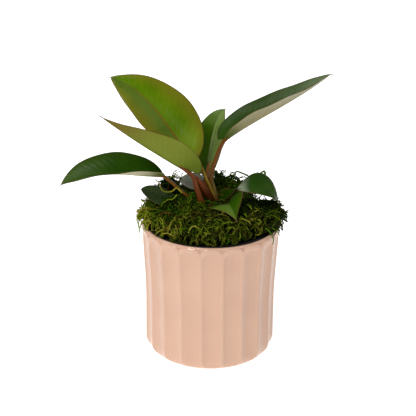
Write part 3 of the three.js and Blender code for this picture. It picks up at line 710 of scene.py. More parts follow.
# Leaves: rib from base to tip, which way the face looks at the base and at the tip, and for each half
# its width, its fold above flat at base and tip, its lobe and its taper; then the stalk, the thread at the
# tip, the wave of the edge and the names of its colours
LEAVES = {
    "upper_left": dict(
        rib=[(-21, -2, 197), (-43, 4, 219), (-57, 13, 253), (-94, 22, 262)],
        face=[(0.3, -0.8, 0.5), (0.1, -0.6, 0.8)], width=(31, 21), fold=[(12, 2), (14, -4)], lobe=(9, 9),
        taper=[(0.5, 0.9), (0.75, 0.7)],
        stalk=[(3, -3, 141), (1.5, -4.5, 158), (-4.3, -6, 173), (-10.5, -5, 187), (-21, -2, 197)],
        stalk_radii=(1.8, 1.1), thread=(-5, 1, -1), wave=0.5, look="lime", skin="olive",
    ),
    "front_left": dict(
        rib=[(-22, -14, 184), (-48, -24, 203), (-74, -31, 222), (-97, -40, 243)],
        face=[(0.3, 0.55, 0.75), (0.3, 0.55, 0.75)], width=(20, 21), fold=[(88, 84), (56, 44)],
        lobe=(6, 13), taper=[(0.5, 1.5), (0.42, 1.35)],
        stalk=[
            (-5, -5, 138), (-9, -8, 151), (-11.3, -9.5, 160), (-13.6, -10.8, 168), (-16.2, -12, 177.5),
            (-22, -14, 184),
        ],
        stalk_radii=(3.8, 2.4), thread=(-5, -2, 2), wave=0.4, look="olive", skin="red",
    ),
    "long_right": dict(
        rib=[(11, 0, 209), (34, -5, 230), (77, -12, 253), (103, -18, 278)],
        face=[(-0.6, 0.1, 0.8), (-0.6, 0.1, 0.8)], width=(22.5, 20.5), fold=[(44, 10), (52, 36)],
        lobe=(0, 5), taper=[(0.9, 0.8), (0.3, 0.75)],
        stalk=[
            (2, 0.5, 141), (-0.4, 0.5, 162), (0.6, 0, 178.5), (3.6, 0, 190), (7.4, 0, 201), (11, 0, 209),
        ],
        stalk_radii=(3.6, 2.3), thread=(6, -1, 0), wave=0.4, look="dark", skin="brown",
    ),
    "upright_back": dict(
        rib=[(-4, 10, 176), (-2, 26, 198), (4, 50, 223), (13, 72, 218)],
        face=[(-0.1, -0.7, 0.65), (0, -0.3, 0.9)], width=(12.5, 18), fold=[(20, 20), (20, 20)],
        lobe=(5, 5), taper=[(0.5, 1.15), (0.45, 1.3)],
        stalk=[(-1, 5, 140), (-3, 8, 158), (-4, 10, 176)],
        stalk_radii=(2.4, 1.7), thread=(1, 3, -1), wave=0.3, look="upright", skin="brown",
    ),
    "long_left": dict(
        rib=[(-44, -6, 176), (-75, -14, 179), (-111, -21, 189), (-137, -26, 173)],
        face=[(0, 0, 1), (0, 0, 1)], width=(25, 25), fold=[(38, 28), (34, 4)], lobe=(0, 0),
        taper=[(0.6, 0.85), (0.5, 0.9)],
        stalk=[(-6, -1, 140), (-16, -2, 149), (-29, -4, 162), (-44, -6, 176)],
        stalk_radii=(2.6, 1.8), thread=(-2, 0, -2), wave=0.4, look="deep", skin="rust",
    ),
    "low_left": dict(
        rib=[(-34, 0, 148), (-46, 3, 150), (-58, 6, 157), (-66.5, 8, 157)],
        face=[(0, -0.5, 1), (0, -0.5, 1)], width=(10, 11), fold=[(8, 8), (8, 8)], lobe=(3, 3),
        taper=[(0.5, 0.7), (0.5, 0.8)],
        stalk=[(-6, 1, 135), (-20, 0, 142), (-34, 0, 148)],
        stalk_radii=(1.7, 1.3), thread=(-1, 0, 0), wave=0.2, look="grey", skin="brown",
    ),
    "small_back": dict(
        rib=[(-6, 10, 157), (-16, 16, 164), (-22, 20, 165), (-30, 26, 162)],
        face=[(0.1, -0.5, 1), (0.1, -0.5, 1)], width=(10, 12), fold=[(10, 10), (10, 10)], lobe=(3, 3),
        taper=[(0.5, 0.7), (0.5, 0.7)],
        stalk=[(-4, 4, 136), (-6, 7, 146), (-6, 10, 157)],
        stalk_radii=(1.6, 1.2), thread=(-1, 0, 0), wave=0.2, look="silver_sheen", skin="brown",
    ),
    "low_front": dict(
        rib=[(15.5, -18, 154), (17, -26, 157), (20, -35, 156), (23.5, -43, 147)],
        face=[(0.1, -0.3, 0.95), (0.1, -0.5, 0.85)], width=(17, 18), fold=[(-14, -6), (42, 10)],
        lobe=(4, 5), taper=[(0.1, 1.15), (0.1, 1.35)],
        stalk=[(5, -5, 137), (10, -12, 147), (15.5, -18, 154)],
        stalk_radii=(1.7, 1.2), thread=(0.3, -1, -1), wave=0.2, look="low_front", skin="brown",
    ),
    "low_middle": dict(
        rib=[(9.5, 1, 155.5), (16, 0, 155.5), (24, 0, 156.5), (31, 0, 156)],
        face=[(0, -0.8, 0.5), (0, -0.8, 0.5)], width=(9, 6), fold=[(6, 6), (6, 6)], lobe=(2, 2),
        taper=[(0.35, 0.7), (0.35, 0.7)],
        stalk=[(5, 3, 138), (8, 3, 147), (9.5, 1, 155.5)],
        stalk_radii=(1.4, 1.0), thread=(1, 0, 0), wave=0.1, look="shade", skin="brown",
    ),
    "low_right": dict(
        rib=[(23.5, -8, 164.5), (36, -9, 167), (56, -6, 170), (62.7, 0, 151)],
        face=[(0, -0.4, 1), (0.6, -0.3, 0.6)], width=(9, 20), fold=[(4, 0), (0, 0)], lobe=(0, 0),
        taper=[(0.9, 0.7), (1.0, 0.85)],
        stalk=[(7, 0, 138), (13, -6, 150), (18, -8, 157.5), (23.5, -8, 164.5)],
        stalk_radii=(1.7, 1.2), thread=(0, 0, -2), wave=0.2, look="low_right", skin="dark",
    ),
}

SHEATHS = {
    "tall": dict(
        rib=[(-3, -4.5, 150), (-6, -4.5, 163), (-5.5, -4, 178), (-1, -3.5, 191)],
        face=[(0, 1, 0), (0, 1, 0)], width=(4, 4), fold=[(35, 20), (35, 20)], lobe=(0, 0),
        taper=[(0.15, 0.9), (0.15, 0.9)], look="brown",
    ),
    "front": dict(
        rib=[(0.5, -8, 150), (-6, -12.8, 164), (-10.5, -13.8, 171), (-13.5, -13.5, 179)],
        face=[(0.3, 1, 0.2), (0.3, 1, 0.2)], width=(5, 5), fold=[(30, 20), (30, 20)], lobe=(0, 0),
        taper=[(0.15, 0.7), (0.15, 0.7)], look="red",
    ),
    "short": dict(
        rib=[(6, -5, 148), (5, -5, 156), (3.5, -5, 164), (1.2, -4.5, 172)],
        face=[(-0.3, 1, 0), (-0.3, 1, 0)], width=(2.4, 2.4), fold=[(30, 20), (30, 20)], lobe=(0, 0),
        taper=[(0.15, 0.9), (0.15, 0.9)], look="olive",
    ),
}


def taper_width(t, taper):
    rise, fall = taper
    widest = rise / (rise + fall)
    return (t / widest) ** rise * ((1 - t) / (1 - widest)) ** fall


def rib_axes(leaf, t):
    """Along the rib: its points, its direction, the direction to its right and the way the face looks."""
    centre = bezier(leaf["rib"], t)
    along = bezier_direction(leaf["rib"], t)
    faces = [unit(np.array(f, float)) for f in leaf["face"]]
    face = lerp(faces[0], faces[1], t[:, None])
    face = unit(face - along * np.sum(face * along, axis=1, keepdims=True))
    return centre, along, np.cross(along, face), face


def blade_half(leaf, k, share, t, run, axes):
    """One half of a blade, 0 right and 1 left of its rib: points, normals and facts for the materials."""
    centre, along, side, face = axes
    sign = 1 - 2 * k
    width = np.maximum(leaf["width"][k] * taper_width(t, leaf["taper"][k]), 0.3)[:, None]
    fold = np.radians(lerp(*leaf["fold"][k], t))[:, None]
    out = sign * side * np.cos(fold) + face * np.sin(fold)
    normal = -sign * side * np.sin(fold) + face * np.cos(fold)
    s = share[None, :] if k == 0 else share[None, ::-1]
    run = run[:, None]
    back = -leaf["lobe"][k] * s**2 * (1 - t[:, None]) ** 6
    arch = 0.05 * width * np.sin(np.pi * s)
    wave = leaf.get("wave", 0) * s**2 * np.sin(run / WAVE_SPACING + 2.5 * k) * np.minimum(width / 8, 1)
    phase = (run - 0.75 * width * s) / VEIN_SPACING + 0.3 * k
    pillow = -0.10 * np.cos(2 * np.pi * phase) * np.sin(np.pi * np.clip(s, 0, 1))
    lift = arch + wave + pillow * np.minimum(width / 10, 1)
    points = centre[:, None] + out[:, None] * (width * s)[..., None] + along[:, None] * back[..., None]
    points = points + normal[:, None] * lift[..., None]
    facts = dict(
        across=s + 0 * width,
        rib_mm=width * s,
        edge_mm=width * (1 - s),
        vein_phase=phase,
        along=t[:, None] + 0 * s,
        half=0.5 + sign * -0.5 * np.minimum(s * 8, 1) + 0 * width,
    )
    return points, np.repeat(normal[:, None], points.shape[1], axis=1), facts


def blade_skin(leaf, rows, half_columns, thickness, rib_radius):
    """Upper and lower skins of a blade, as arrays, with what the materials need to know of each point."""
    t = 0.5 - 0.5 * np.cos(np.pi * np.linspace(0.02, 0.985, rows))
    axes = rib_axes(leaf, t)
    run = np.concatenate([[0], np.cumsum(np.linalg.norm(np.diff(axes[0], axis=0), axis=1))])
    share = np.linspace(0, 1, half_columns + 1) ** 0.85
    left = blade_half(leaf, 1, share, t, run, axes)
    right = blade_half(leaf, 0, share, t, run, axes)
    points = np.concatenate([left[0], right[0][:, 1:]], axis=1)
    normals = np.concatenate([left[1], right[1][:, 1:]], axis=1)
    normals[:, half_columns] = unit(left[1][:, -1] + right[1][:, 0])
    facts = {key: np.concatenate([left[2][key], right[2][key][:, 1:]], axis=1) for key in left[2]}
    size = (rib_radius * (1 - t) ** 0.7 + 0.12)[:, None]
    near = np.exp(-((facts["rib_mm"] / (1.3 * size)) ** 2))
    facts["rib_share"] = facts["rib_mm"] / (1.5 * size)
    thin = thickness / 2 * np.minimum(1, 0.35 + facts["edge_mm"] / 1.2)
    upper = points + normals * (thin - 0.25 * size * near)[..., None]
    lower = points - normals * (thin + 1.0 * size * near)[..., None]
    return upper, lower, facts


def rim_quads(rows, columns):
    """Faces round the outside of a grid, that join it to a second grid of the same size."""
    border = [i * columns for i in range(rows)]
    border += [(rows - 1) * columns + j for j in range(1, columns)]
    border += [i * columns + columns - 1 for i in range(rows - 2, -1, -1)]
    border += list(range(columns - 2, 0, -1))
    border = np.array(border)
    following = np.roll(border, -1)
    below = rows * columns
    return np.stack([border, following, following + below, border + below], axis=1)


def tip_thread(leaf):
    """The thread-like tip that a blade ends in."""
    start = bezier(leaf["rib"], [0.965])[0]
    tip = bezier(leaf["rib"], [0.995])[0]
    thread = np.array(leaf["thread"])
    path = through([start, tip, tip + 0.5 * thread, tip + thread], 12)
    return tube(path, np.linspace(0.5, 0.14, 12), 6)


def blade_piece(name, node, leaf, materials, slot, rows, half_columns, rib, thickness=BLADE_THICKNESS):
    """A closed blade: upper skin, underside and a rim, each with its own material."""
    upper, lower, facts = blade_skin(leaf, rows, half_columns, thickness, rib)
    columns = upper.shape[1]
    top = grid_quads(rows, columns, closed=False)
    bottom = grid_quads(rows, columns, closed=False, first=rows * columns)[:, ::-1]
    rim = rim_quads(rows, columns)
    points = np.concatenate([upper.reshape(-1, 3), lower.reshape(-1, 3)])
    quads = np.concatenate([top, bottom, rim])
    slots = [0] * len(top) + [1] * len(bottom) + [2] * len(rim)
    attributes = {key: np.tile(value.ravel(), 2) for key, value in facts.items()}
    caps = []
    if "thread" in leaf:
        more_points, more_quads, caps = join_tubes([tip_thread(leaf)], len(points))
        points = np.concatenate([points, more_points])
        quads = np.concatenate([quads, more_quads])
        slots += [2] * (len(more_quads) + len(caps))
        ones = np.ones(len(more_points))
        attributes = {key: np.concatenate([value, ones]) for key, value in attributes.items()}
    piece = make_piece(name, points, quads, materials, attributes, caps, slots)
    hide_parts(node)


def stalk_piece(name, node, leaf, material):
    """A leaf stalk, broad where it clasps the stem, that runs on into the blade's rib."""
    rows, sides = 48, 20
    path = through(leaf["stalk"], rows)
    share = np.linspace(0, 1, rows)
    foot = 1.0 + 0.45 * (1 - smooth(0.0, 0.4, share))
    radii = lerp(*leaf["stalk_radii"], share) * foot
    into = bezier(leaf["rib"], np.linspace(0.01, 0.10, 6))
    path = np.concatenate([path, into])
    radii = np.concatenate([radii, np.linspace(leaf["stalk_radii"][1], 0.7, 6)])
    rings = tube(path, radii, sides, flat=0.82, groove=0.18)
    top_side = np.tile(0.5 + 0.5 * np.sin(full_turn(sides)), len(path))
    points, quads, caps = join_tubes([rings])
    piece = make_piece(name, points, quads, [material], {"top_side": top_side}, caps)
    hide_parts(node)


def crown_piece(material):
    """The short stem, ringed by the scars of fallen leaves, with its main roots."""
    rows, sides = 40, 28
    share = np.linspace(0, 1, rows)
    path = np.stack([0 * share, 0 * share, lerp(CROWN_FOOT, CROWN_TOP, share)], axis=1)
    radii = lerp(4.0, CROWN_RADIUS, smooth(0, 0.9, share)) + 0.35 * np.sin(share * 50)
    radii[-3:] *= (0.9, 0.75, 0.5)
    tubes = [tube(path, radii, sides)]
    for k in range(ROOTS):
        azimuth = math.radians(20 + 360 * k / ROOTS)
        start = around(2.0, azimuth, CROWN_FOOT + 8.0)
        bend = around(18.0, azimuth + 0.3, CROWN_FOOT - 6.0)
        end = around(30.0, azimuth + 0.1, CROWN_FOOT - 34.0)
        tubes.append(tube(through([start, bend, end], 24), np.linspace(2.4, 0.9, 24), 12))
    points, quads, caps = join_tubes(tubes)
    attributes = {"top_side": np.zeros(len(points))}
    piece = make_piece("crown_and_roots", points, quads, [material], attributes, caps)
    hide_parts("crown")


# The moss


def away_from_front(azimuth):
    return np.abs(np.arctan2(np.sin(azimuth), np.cos(azimuth)))


def moss_spill(azimuth, before):
    """0 where the moss stays inside the mouth, 1 where it hangs over the rim."""
    start = np.where(np.sin(azimuth) > 0, SPILL_RIGHT_DEG, SPILL_LEFT_DEG)
    return smooth(np.radians(start - before), np.radians(start + 18 - 2 * before), away_from_front(azimuth))


def moss_edge(azimuth):
    to_back = smooth(math.radians(110), math.radians(160), away_from_front(azimuth))
    side = np.where(np.sin(azimuth) > 0, MOSS_RIGHT, MOSS_LEFT)
    scallops = 0.8 * np.sin(9 * azimuth) + 0.6 * np.cos(14 * azimuth + 1)
    front = MOSS_FRONT - MOSS_FRONT_SLANT * np.sin(azimuth)
    return lerp(front, lerp(side, MOSS_BACK, to_back), moss_spill(azimuth, 0)) + scallops


def moss_foot(azimuth):
    return lerp(GROWER_TOP + GAP, POT_HEIGHT + 2 * GAP, moss_spill(azimuth, 8))


def moss_top(share, azimuth):
    edge = moss_edge(azimuth)
    x = share * edge * np.sin(azimuth)
    y = -share * edge * np.cos(azimuth)
    to_side = smooth(math.radians(35), math.radians(70), away_from_front(azimuth))
    to_back = smooth(math.radians(100), math.radians(150), away_from_front(azimuth))
    front_drop = 12 * share**2 + 8 * share**8
    side_drop = 8 * share**2 + 6 * share**12
    back_drop = 4 * share**2 + 18 * share**8
    drop = lerp(lerp(front_drop, side_drop, to_side), back_drop, to_back)
    lumps = 1.4 * np.sin(x / 4.1 + 1.3 * np.sin(y / 6)) + 1.3 * np.cos(y / 3.7 + 1.1 * np.sin(x / 5))
    heaps = MOSS_BACK_HEAP * smooth(-2, 34, y) * smooth(-20, 0, x) * (1 - smooth(20, 50, x))
    for heap in MOSS_HEAPS:
        away = ((x - heap["x"]) / heap["wide"]) ** 2 + ((y - heap["y"]) / heap["deep"]) ** 2
        heaps = heaps + heap["height"] * np.exp(-away)
    hollow = MOSS_RIGHT_HOLLOW * smooth(30, 44, x) * smooth(-15, 12, y) * (1 - smooth(50, 60, x))
    top = MOSS_LEVEL + heaps - hollow - drop + lumps * smooth(0, 0.2, share)
    return np.maximum(top, moss_foot(azimuth) + 2)


def loose(x, y):
    """How deep the strands lie loose over the matted inside: shallow in front, airy at the back."""
    return 1.5 + LOOSE_DEPTH * smooth(2, 30, y) * smooth(-22, 4, x)


def moss_core(material):
    """The matted inside of the mound, seen only between the strands, painted near black as shade."""
    count = 160
    azimuth = full_turn(count)
    edge = moss_edge(azimuth) - 2.5
    foot = moss_foot(azimuth)
    inside = np.minimum(edge, GROWER_INSIDE)
    rings = [around(WELL_RADIUS + 3, azimuth, MIX_TOP + 3.5)]
    rings.append(around(inside - 1.5, azimuth, MIX_TOP + 3.5))
    rings.append(around(inside - 0.8, azimuth, foot))
    rings.append(around(edge, azimuth, foot + 0.4))
    for share in np.linspace(0.97, (WELL_RADIUS + 1) / 55, 26):
        ripple = 0.5 * np.sin(17 * azimuth + 40 * share) * np.cos(23 * azimuth - 31 * share)
        sunk = 0.8 + loose(share * edge * np.sin(azimuth), -share * edge * np.cos(azimuth))
        z = np.maximum(moss_top(share, azimuth) - sunk + ripple, foot + 1)
        rings.append(around(np.maximum(share * edge, WELL_RADIUS), azimuth, z))
    rings.append(around(WELL_RADIUS - 0.5, azimuth, MIX_TOP + 12.0))
    quads = grid_quads(len(rings), count, looped=True)
    flat = np.array(rings).reshape(-1, 3)
    zeros = np.zeros(len(flat))
    # A painted light share of 0 paints the mat in full shade.
    attributes = {"hue": zeros + 0.25, "tone": zeros + 0.1, "painted_light_share": zeros, "brown": zeros}
    piece = make_piece("moss_mat", flat, quads, [material], attributes)
    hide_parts("moss")


def strand_meshes(paths, radii, facts):
    """Four-sided strands round many paths at once: paths is strands by steps by 3."""
    count, steps = paths.shape[:2]
    along = unit(np.gradient(paths, axis=1))
    aside = unit(np.cross(along[:, 0], [0.2, 0.3, 1.0]))
    rings = []
    for i in range(steps):
        d = along[:, i]
        aside = unit(aside - d * np.sum(aside * d, axis=1, keepdims=True))
        up = np.cross(aside, d)
        twist = 0.6 * i
        ring = []
        for k in range(4):
            angle = twist + k * np.pi / 2
            out = np.cos(angle) * aside + np.sin(angle) * up
            ring.append(paths[:, i] + radii[:, i : i + 1] * out)
        rings.append(np.stack(ring, axis=1))
    points = np.stack(rings, axis=1)
    one = grid_quads(steps, 4)
    ends = np.array([[3, 2, 1, 0], [4 * steps - 4, 4 * steps - 3, 4 * steps - 2, 4 * steps - 1]])
    one = np.concatenate([one, ends])
    quads = (one[None] + (np.arange(count) * 4 * steps)[:, None, None]).reshape(-1, 4)
    attributes = {}
    for key, value in facts.items():
        attributes[key] = np.repeat(value.reshape(count, -1) + np.zeros((count, steps)), 4)
    return points.reshape(-1, 3), quads, attributes


def ground(x, y):
    """Height of the mound under a point, falling away past its edge."""
    azimuth = np.arctan2(x, -y)
    radius = np.hypot(x, y)
    share = radius / moss_edge(azimuth)
    past = np.maximum(radius - moss_edge(azimuth), 0)
    return moss_top(np.clip(share, 0.12, 1), azimuth) - PAST_EDGE_SLOPE * past


def keep_clear(x, y):
    """Moves points out of the stalks' well and, in front, back inside the pot's mouth or, at the front's
    left, no further than just over the rim."""
    radius = np.hypot(x, y) + 1e-6
    azimuth = np.arctan2(x, -y)
    over_left = 6.5 * np.exp(-(((azimuth + 0.95) / 0.28) ** 2))
    mouth = lerp(MOUTH_RADIUS - 2.5, RIM_RADIUS + 20, moss_spill(azimuth, 4))
    wanted = np.clip(radius, WELL_RADIUS, np.minimum(moss_edge(azimuth) + 2.5, mouth) + over_left)
    return x * wanted / radius, y * wanted / radius


def rest_height(x, y, sunk):
    """Lowest place of a strand: down in the mound, but on top of the two pots' rims."""
    radius = np.hypot(x, y)
    on_rims = (radius > GROWER_INSIDE) & (radius < RIM_RADIUS + 0.8)
    low = np.where(on_rims, moss_foot(np.arctan2(x, -y)) + 0.5, 0.0)
    low = np.where(on_rims & (radius > MOUTH_RADIUS - 1.0), POT_HEIGHT + 1.0, low)
    return np.maximum(ground(x, y) - sunk * (1.0 + loose(x, y)), low)


def patches(x, y, phase):
    """Soft patches between 0 and 1 over the mound."""
    first = np.sin(x / 5.3 + 1.7 * np.sin(y / 7.1 + phase) + phase)
    second = np.cos(y / 4.2 + 1.4 * np.sin(x / 6.7 - phase) + 2 * phase)
    return 0.5 + 0.25 * (first + second)


def left_edge(x):
    """1 at the mound's sunlit, airy left edge and 0 further in."""
    return smooth(-46, -60, x)


def strand_hue(rng, x, y):
    """Where each colour of moss lies: olive in front, bright green left of the stem, yellow at the left."""
    front = smooth(5, -35, y)
    green = np.exp(-(((x + 36) / 13) ** 2 + ((y + 8) / 16) ** 2))
    yellow = smooth(-48, -62, x)
    hue = 0.24 + 0.34 * front + 0.42 * yellow - 0.25 * green + 0.35 * (patches(x, y, 0.4) - 0.5)
    return np.clip(hue + rng.normal(0, 0.16, len(x)), 0, 1)


def strand_tone(rng, x, y):
    """Most strands are dull and a few bright; the right of the mound is painted darker as shade, and its
    sunlit left edge painted lighter.
    """
    shade = 0.5 * np.exp(-(((x - 56) / 14) ** 2 + ((y + 10) / 22) ** 2))
    spread = rng.uniform(0, 1, len(x)) ** 2.2
    return np.clip(0.9 * left_edge(x) + spread * (0.15 + 0.5 * patches(x, y, 2.1)) - shade, 0.0, 1)


# How strands grow: length and radius in mm, climb and bend in radians, how deep they root (1 in the matted
# inside, 0 on top of the mound) and how much brighter than the others they are, partly in colour and partly
# as painted light that lessens their painted shade
HABITS = {
    "tangled": dict(
        length=(7, 15), radius=(0.4, 0.8), climb=(0.3, 1.3), bend=(1.4, 3.4), sunk=1.0, bright=0.0
    ),
    "airy": dict(
        length=(9, 19), radius=(0.45, 0.85), climb=(0.1, 1.3), bend=(0.6, 2.8), sunk=1.0, bright=0.25
    ),
    "curled": dict(
        length=(9, 20), radius=(0.55, 0.95), climb=(0.0, 0.9), bend=(0.9, 2.8), sunk=0.15, bright=0.34
    ),
}

# Each piece of strands: its sector in degrees round from the front, how many strands, and how they grow
MOSS_PARTS = [
    ("moss_front", (-55, 55), 1000, "tangled"),
    ("moss_right", (55, 120), 800, "tangled"),
    ("moss_back", (120, 240), 1000, "airy"),
    ("moss_left", (240, 305), 800, "tangled"),
    ("moss_curls_front", (-60, 60), 140, "curled"),
    ("moss_over_left_rim", (-66, -42), 110, "curled"),
    ("moss_curls_left", (240, 300), 170, "curled"),
    ("moss_curls_right", (60, 125), 70, "curled"),
]


def strand_paths(rng, sector, count, habit):
    """Paths rooted in one sector of the mound, that climb out, arch over and hook back; and their roots."""
    azimuth = np.radians(rng.uniform(*sector, count))
    start = np.sqrt(rng.uniform(0.02, 1.0, count)) * moss_edge(azimuth)
    x0, y0 = start * np.sin(azimuth), -start * np.cos(azimuth)
    moved = STRAND_STEPS - 1
    i = np.linspace(0, 1, moved)[None]
    pitch = rng.uniform(*habit["climb"], (count, 1)) - rng.uniform(*habit["bend"], (count, 1)) * i
    turn = rng.normal(0, 1.5, (count, 1)) * i + np.cumsum(rng.normal(0, 0.22, (count, moved)), axis=1)
    heading = rng.uniform(0, 2 * np.pi, (count, 1)) + turn
    step = rng.uniform(*habit["length"], (count, 1)) / moved
    level = np.cos(pitch)
    moves = np.stack([level * np.cos(heading), level * np.sin(heading), np.sin(pitch)], axis=2)
    sunk = habit["sunk"]
    z0 = ground(x0, y0) - sunk * (1.0 + rng.uniform(0, 1, count) * loose(x0, y0))
    root = np.stack([x0, y0, z0], axis=1)[:, None]
    paths = np.concatenate([root, root + np.cumsum(step[..., None] * moves, axis=1)], axis=1)
    x, y = keep_clear(paths[..., 0], paths[..., 1])
    return np.stack([x, y, np.maximum(paths[..., 2], rest_height(x, y, sunk))], axis=2), x0, y0


def side_twigs(rng, paths, sizes, facts):
    """Short twigs that fork from the strands."""
    twigs = TWIGS_PER_STRAND * len(paths)
    of = rng.integers(0, len(paths), twigs)
    at = rng.integers(2, STRAND_STEPS - 1, twigs)
    fork = paths[of, at]
    direction = unit(paths[of, at + 1] - paths[of, at - 1] + 1e-6)
    sideways = unit(np.cross(direction, rng.normal(0, 1, (twigs, 3))))
    reach = rng.uniform(1.5, 3.6, twigs)[:, None]
    middle = fork + reach * (0.5 * direction + 0.4 * sideways)
    tip = fork + reach * (0.8 * direction + 0.9 * sideways)
    twig_sizes = sizes[of, at][:, None] * np.array([[0.85, 0.8, 0.4]])
    twig_facts = {key: value[of] for key, value in facts.items()}
    twig_facts["hue"] = twig_facts["hue"] + 0.15
    twig_facts["tone"] = twig_facts["tone"] + 0.1
    twig_facts["painted_light_share"] = facts["painted_light_share"][of, at][:, None]
    return strand_meshes(np.stack([fork, middle, tip], axis=1), twig_sizes, twig_facts)


def moss_strands(name, rng, material, sector, count, habit):
    """One piece of strands with their twigs and colours."""
    paths, x0, y0 = strand_paths(rng, sector, count, habit)
    along = np.linspace(0, 1, STRAND_STEPS)[None]
    knots = 1 + 0.22 * (-1.0) ** np.arange(STRAND_STEPS)
    sizes = rng.uniform(*habit["radius"], (count, 1)) * (1 - 0.5 * along) * knots
    hue = strand_hue(rng, x0, y0)[:, None] + 0.1 * habit["bright"]
    tone = strand_tone(rng, x0, y0)[:, None] + habit["bright"]
    near_stem = np.exp(-((x0 / 14) ** 2 + ((y0 + 14) / 9) ** 2))
    brown = 0.8 * (rng.uniform(0, 1, count) < 0.06 + 0.12 * near_stem)[:, None]
    x, y, z = paths[..., 0], paths[..., 1], paths[..., 2]
    # Painted shade: parts low in the tangle are darker; bright strands and the sunlit left edge get painted
    # light.
    above = z - ground(x, y) + 1.0 + 0.5 * loose(x, y)
    painted_light_share = np.clip(above / 3.6 + habit["bright"] + 0.6 * left_edge(x), 0, 1)
    facts = dict(hue=hue + 0.25 * along, tone=tone + 0.2 * along, painted_light_share=painted_light_share, brown=brown)
    points, quads, attributes = strand_meshes(paths, sizes, facts)
    more = side_twigs(rng, paths, sizes, dict(hue=hue, tone=tone, painted_light_share=painted_light_share, brown=brown))
    quads = np.concatenate([quads, more[1] + len(points)])
    points = np.concatenate([points, more[0]])
    attributes = {key: np.concatenate([value, more[2][key]]) for key, value in attributes.items()}
    piece = make_piece(name, points, quads, [material], attributes)


# Single strands laid one by one: hue, share of brown, radii at its ends, and the points it runs through. Two
# numbers are a place on the mound, that the strand arches over; three are a point in space: the pale runner
# and its branch, and strands that stand up behind or hang over the rims.
LAID_STRANDS = [
    (0.9, 0.3, (0.4, 0.8), [
        (-52, -8, 174), (-48, -8, 169), (-46, -8, 163), (-41, -8, 161), (-36, -8, 162), (-33, -8, 165),
        (-31, -8, 164.5), (-27, -9, 160.5),
    ]),
    (0.65, 0.0, (0.7, 0.4), [
        (-32, -10, 159.5), (-33.5, -11, 157), (-37, -12, 155), (-40, -12, 155), (-44, -13, 152),
        (-46.5, -14, 149),
    ]),
    (0.85, 0.1, (0.7, 0.4), [(-40.5, -32.5), (-36, -31.5), (-32.5, -31.5), (-29.5, -32.5)]),
    (0.7, 0.0, (0.7, 0.5), [(-29, -29.5), (-29, -33), (-27, -36.5), (-28.5, -40.5)]),
    (0.95, 0.0, (0.6, 0.6), [(-20, -47), (-18, -45), (-14.5, -44.5), (-11, -45)]),
    (0.7, 0.0, (0.9, 0.6), [(-50.5, -23), (-47, -27.5), (-44, -31.5)]),
    (0.85, 0.25, (0.9, 0.7), [(-39.5, -35.5), (-35.5, -38.5), (-33, -37.5), (-29, -42)]),
    (0.85, 0.3, (0.9, 0.6), [(-37.5, -41), (-33.5, -41), (-29, -45.5)]),
    (0.9, 0.1, (0.7, 0.5), [(37.5, -21), (42.5, -15), (48, -2.5)]),
    (0.85, 0.0, (0.6, 0.4), [(39.5, -11), (44, -12.5), (48, -14.5)]),
    (0.85, 0.0, (0.6, 0.8), [(33.5, -30.5), (38.5, -27), (44, -28), (47, -30.5), (46, -33), (41, -36)]),
    (0.8, 0.1, (0.7, 0.5), [(30, -35), (33.5, -36.5), (37.5, -37.5)]),
    (0.8, 0.0, (0.7, 0.5), [(33.5, -6.5), (36, -11.5), (38.5, -15.5)]),
    (0.5, 0.0, (0.5, 0.4), [(1.5, -32.5), (5.5, -38), (10, -40.5), (14.5, -33.5), (18, -28.5)]),
    (0.6, 0.0, (0.7, 0.5), [(23.5, -39.5), (26, -34.5), (29.5, -32.5), (33, -34)]),
    (0.8, 0.0, (0.7, 0.5), [(-6, -47.5), (-1.5, -49.5), (2, -49)]),
    (0.6, 0.0, (0.7, 0.5), [(13.5, -51), (12.5, -53.5)]),
    (0.6, 0.0, (0.6, 0.5), [(-45.5, -5.5), (-41, -2), (-37.5, 1), (-34, 7)]),
    (0.5, 0.2, (0.7, 0.5), [(-14, -26), (-9.5, -24), (-4, -29.5), (0.5, -29.5)]),
    (0.75, 0.0, (0.8, 0.5), [(-60, -14, 141), (-65.5, -14, 137), (-67.5, -14, 131), (-66.5, -14, 122)]),
    (0.8, 0.0, (0.8, 0.5), [(-58, -20, 138), (-63.5, -19, 134), (-66.5, -18, 128)]),
    (0.4, 0.0, (0.6, 0.4), [(50, -36, 138), (54, -38, 135), (57.5, -38.5, 128), (57, -39, 123)]),
    (0.5, 0.0, (0.6, 0.3), [(56, -30, 136), (61, -29, 132), (64.5, -28, 126)]),
    (0.45, 0.0, (0.7, 0.9), [(21.5, 32, 162), (24, 32, 167.5), (29.5, 32, 166), (35.5, 32, 163.5)]),
    (0.4, 0.0, (0.6, 0.5), [(13, 28, 157), (17, 28, 164.5), (20.5, 28, 168.5), (23.5, 28, 165.5)]),
    (0.5, 0.0, (0.6, 1.1), [
        (39, 22, 161), (44.5, 22, 166), (47, 22, 170), (50, 22, 172), (51.5, 22, 169),
    ]),
    (0.45, 0.0, (0.6, 0.7), [(37, 22, 160), (40.5, 22, 168), (44.5, 22, 170.5)]),
    (0.6, 0.0, (0.5, 0.6), [
        (-43.5, 20, 159), (-41.5, 20, 164), (-38.5, 20, 165.5), (-35, 20, 165.5), (-32, 20, 163.5),
    ]),
]


def laid_strands(material):
    """The strands laid one by one, each a knotty tube."""
    steps, sides = 28, 8
    tubes, hues, browns = [], [], []
    for k, (hue, brown, radii, run) in enumerate(LAID_STRANDS):
        path = through(run, steps)
        if len(run[0]) == 2:
            arch = 0.6 + 1.8 * np.sin(np.pi * np.linspace(0, 1, steps))
            path = np.column_stack([path, ground(path[:, 0], path[:, 1]) + arch])
        knots = 1 + 0.2 * np.sin(np.arange(steps) * 1.9 + k)
        tubes.append(tube(path, np.linspace(*radii, steps) * knots, sides))
        hues += [hue] * steps * sides
        browns += [brown] * steps * sides
    points, quads, caps = join_tubes(tubes)
    bright = np.ones(len(points))
    attributes = {"hue": hues, "tone": bright, "painted_light_share": bright, "brown": browns}
    piece = make_piece("moss_laid_strands", points, quads, [material], attributes, caps)


# Light, floor and camera


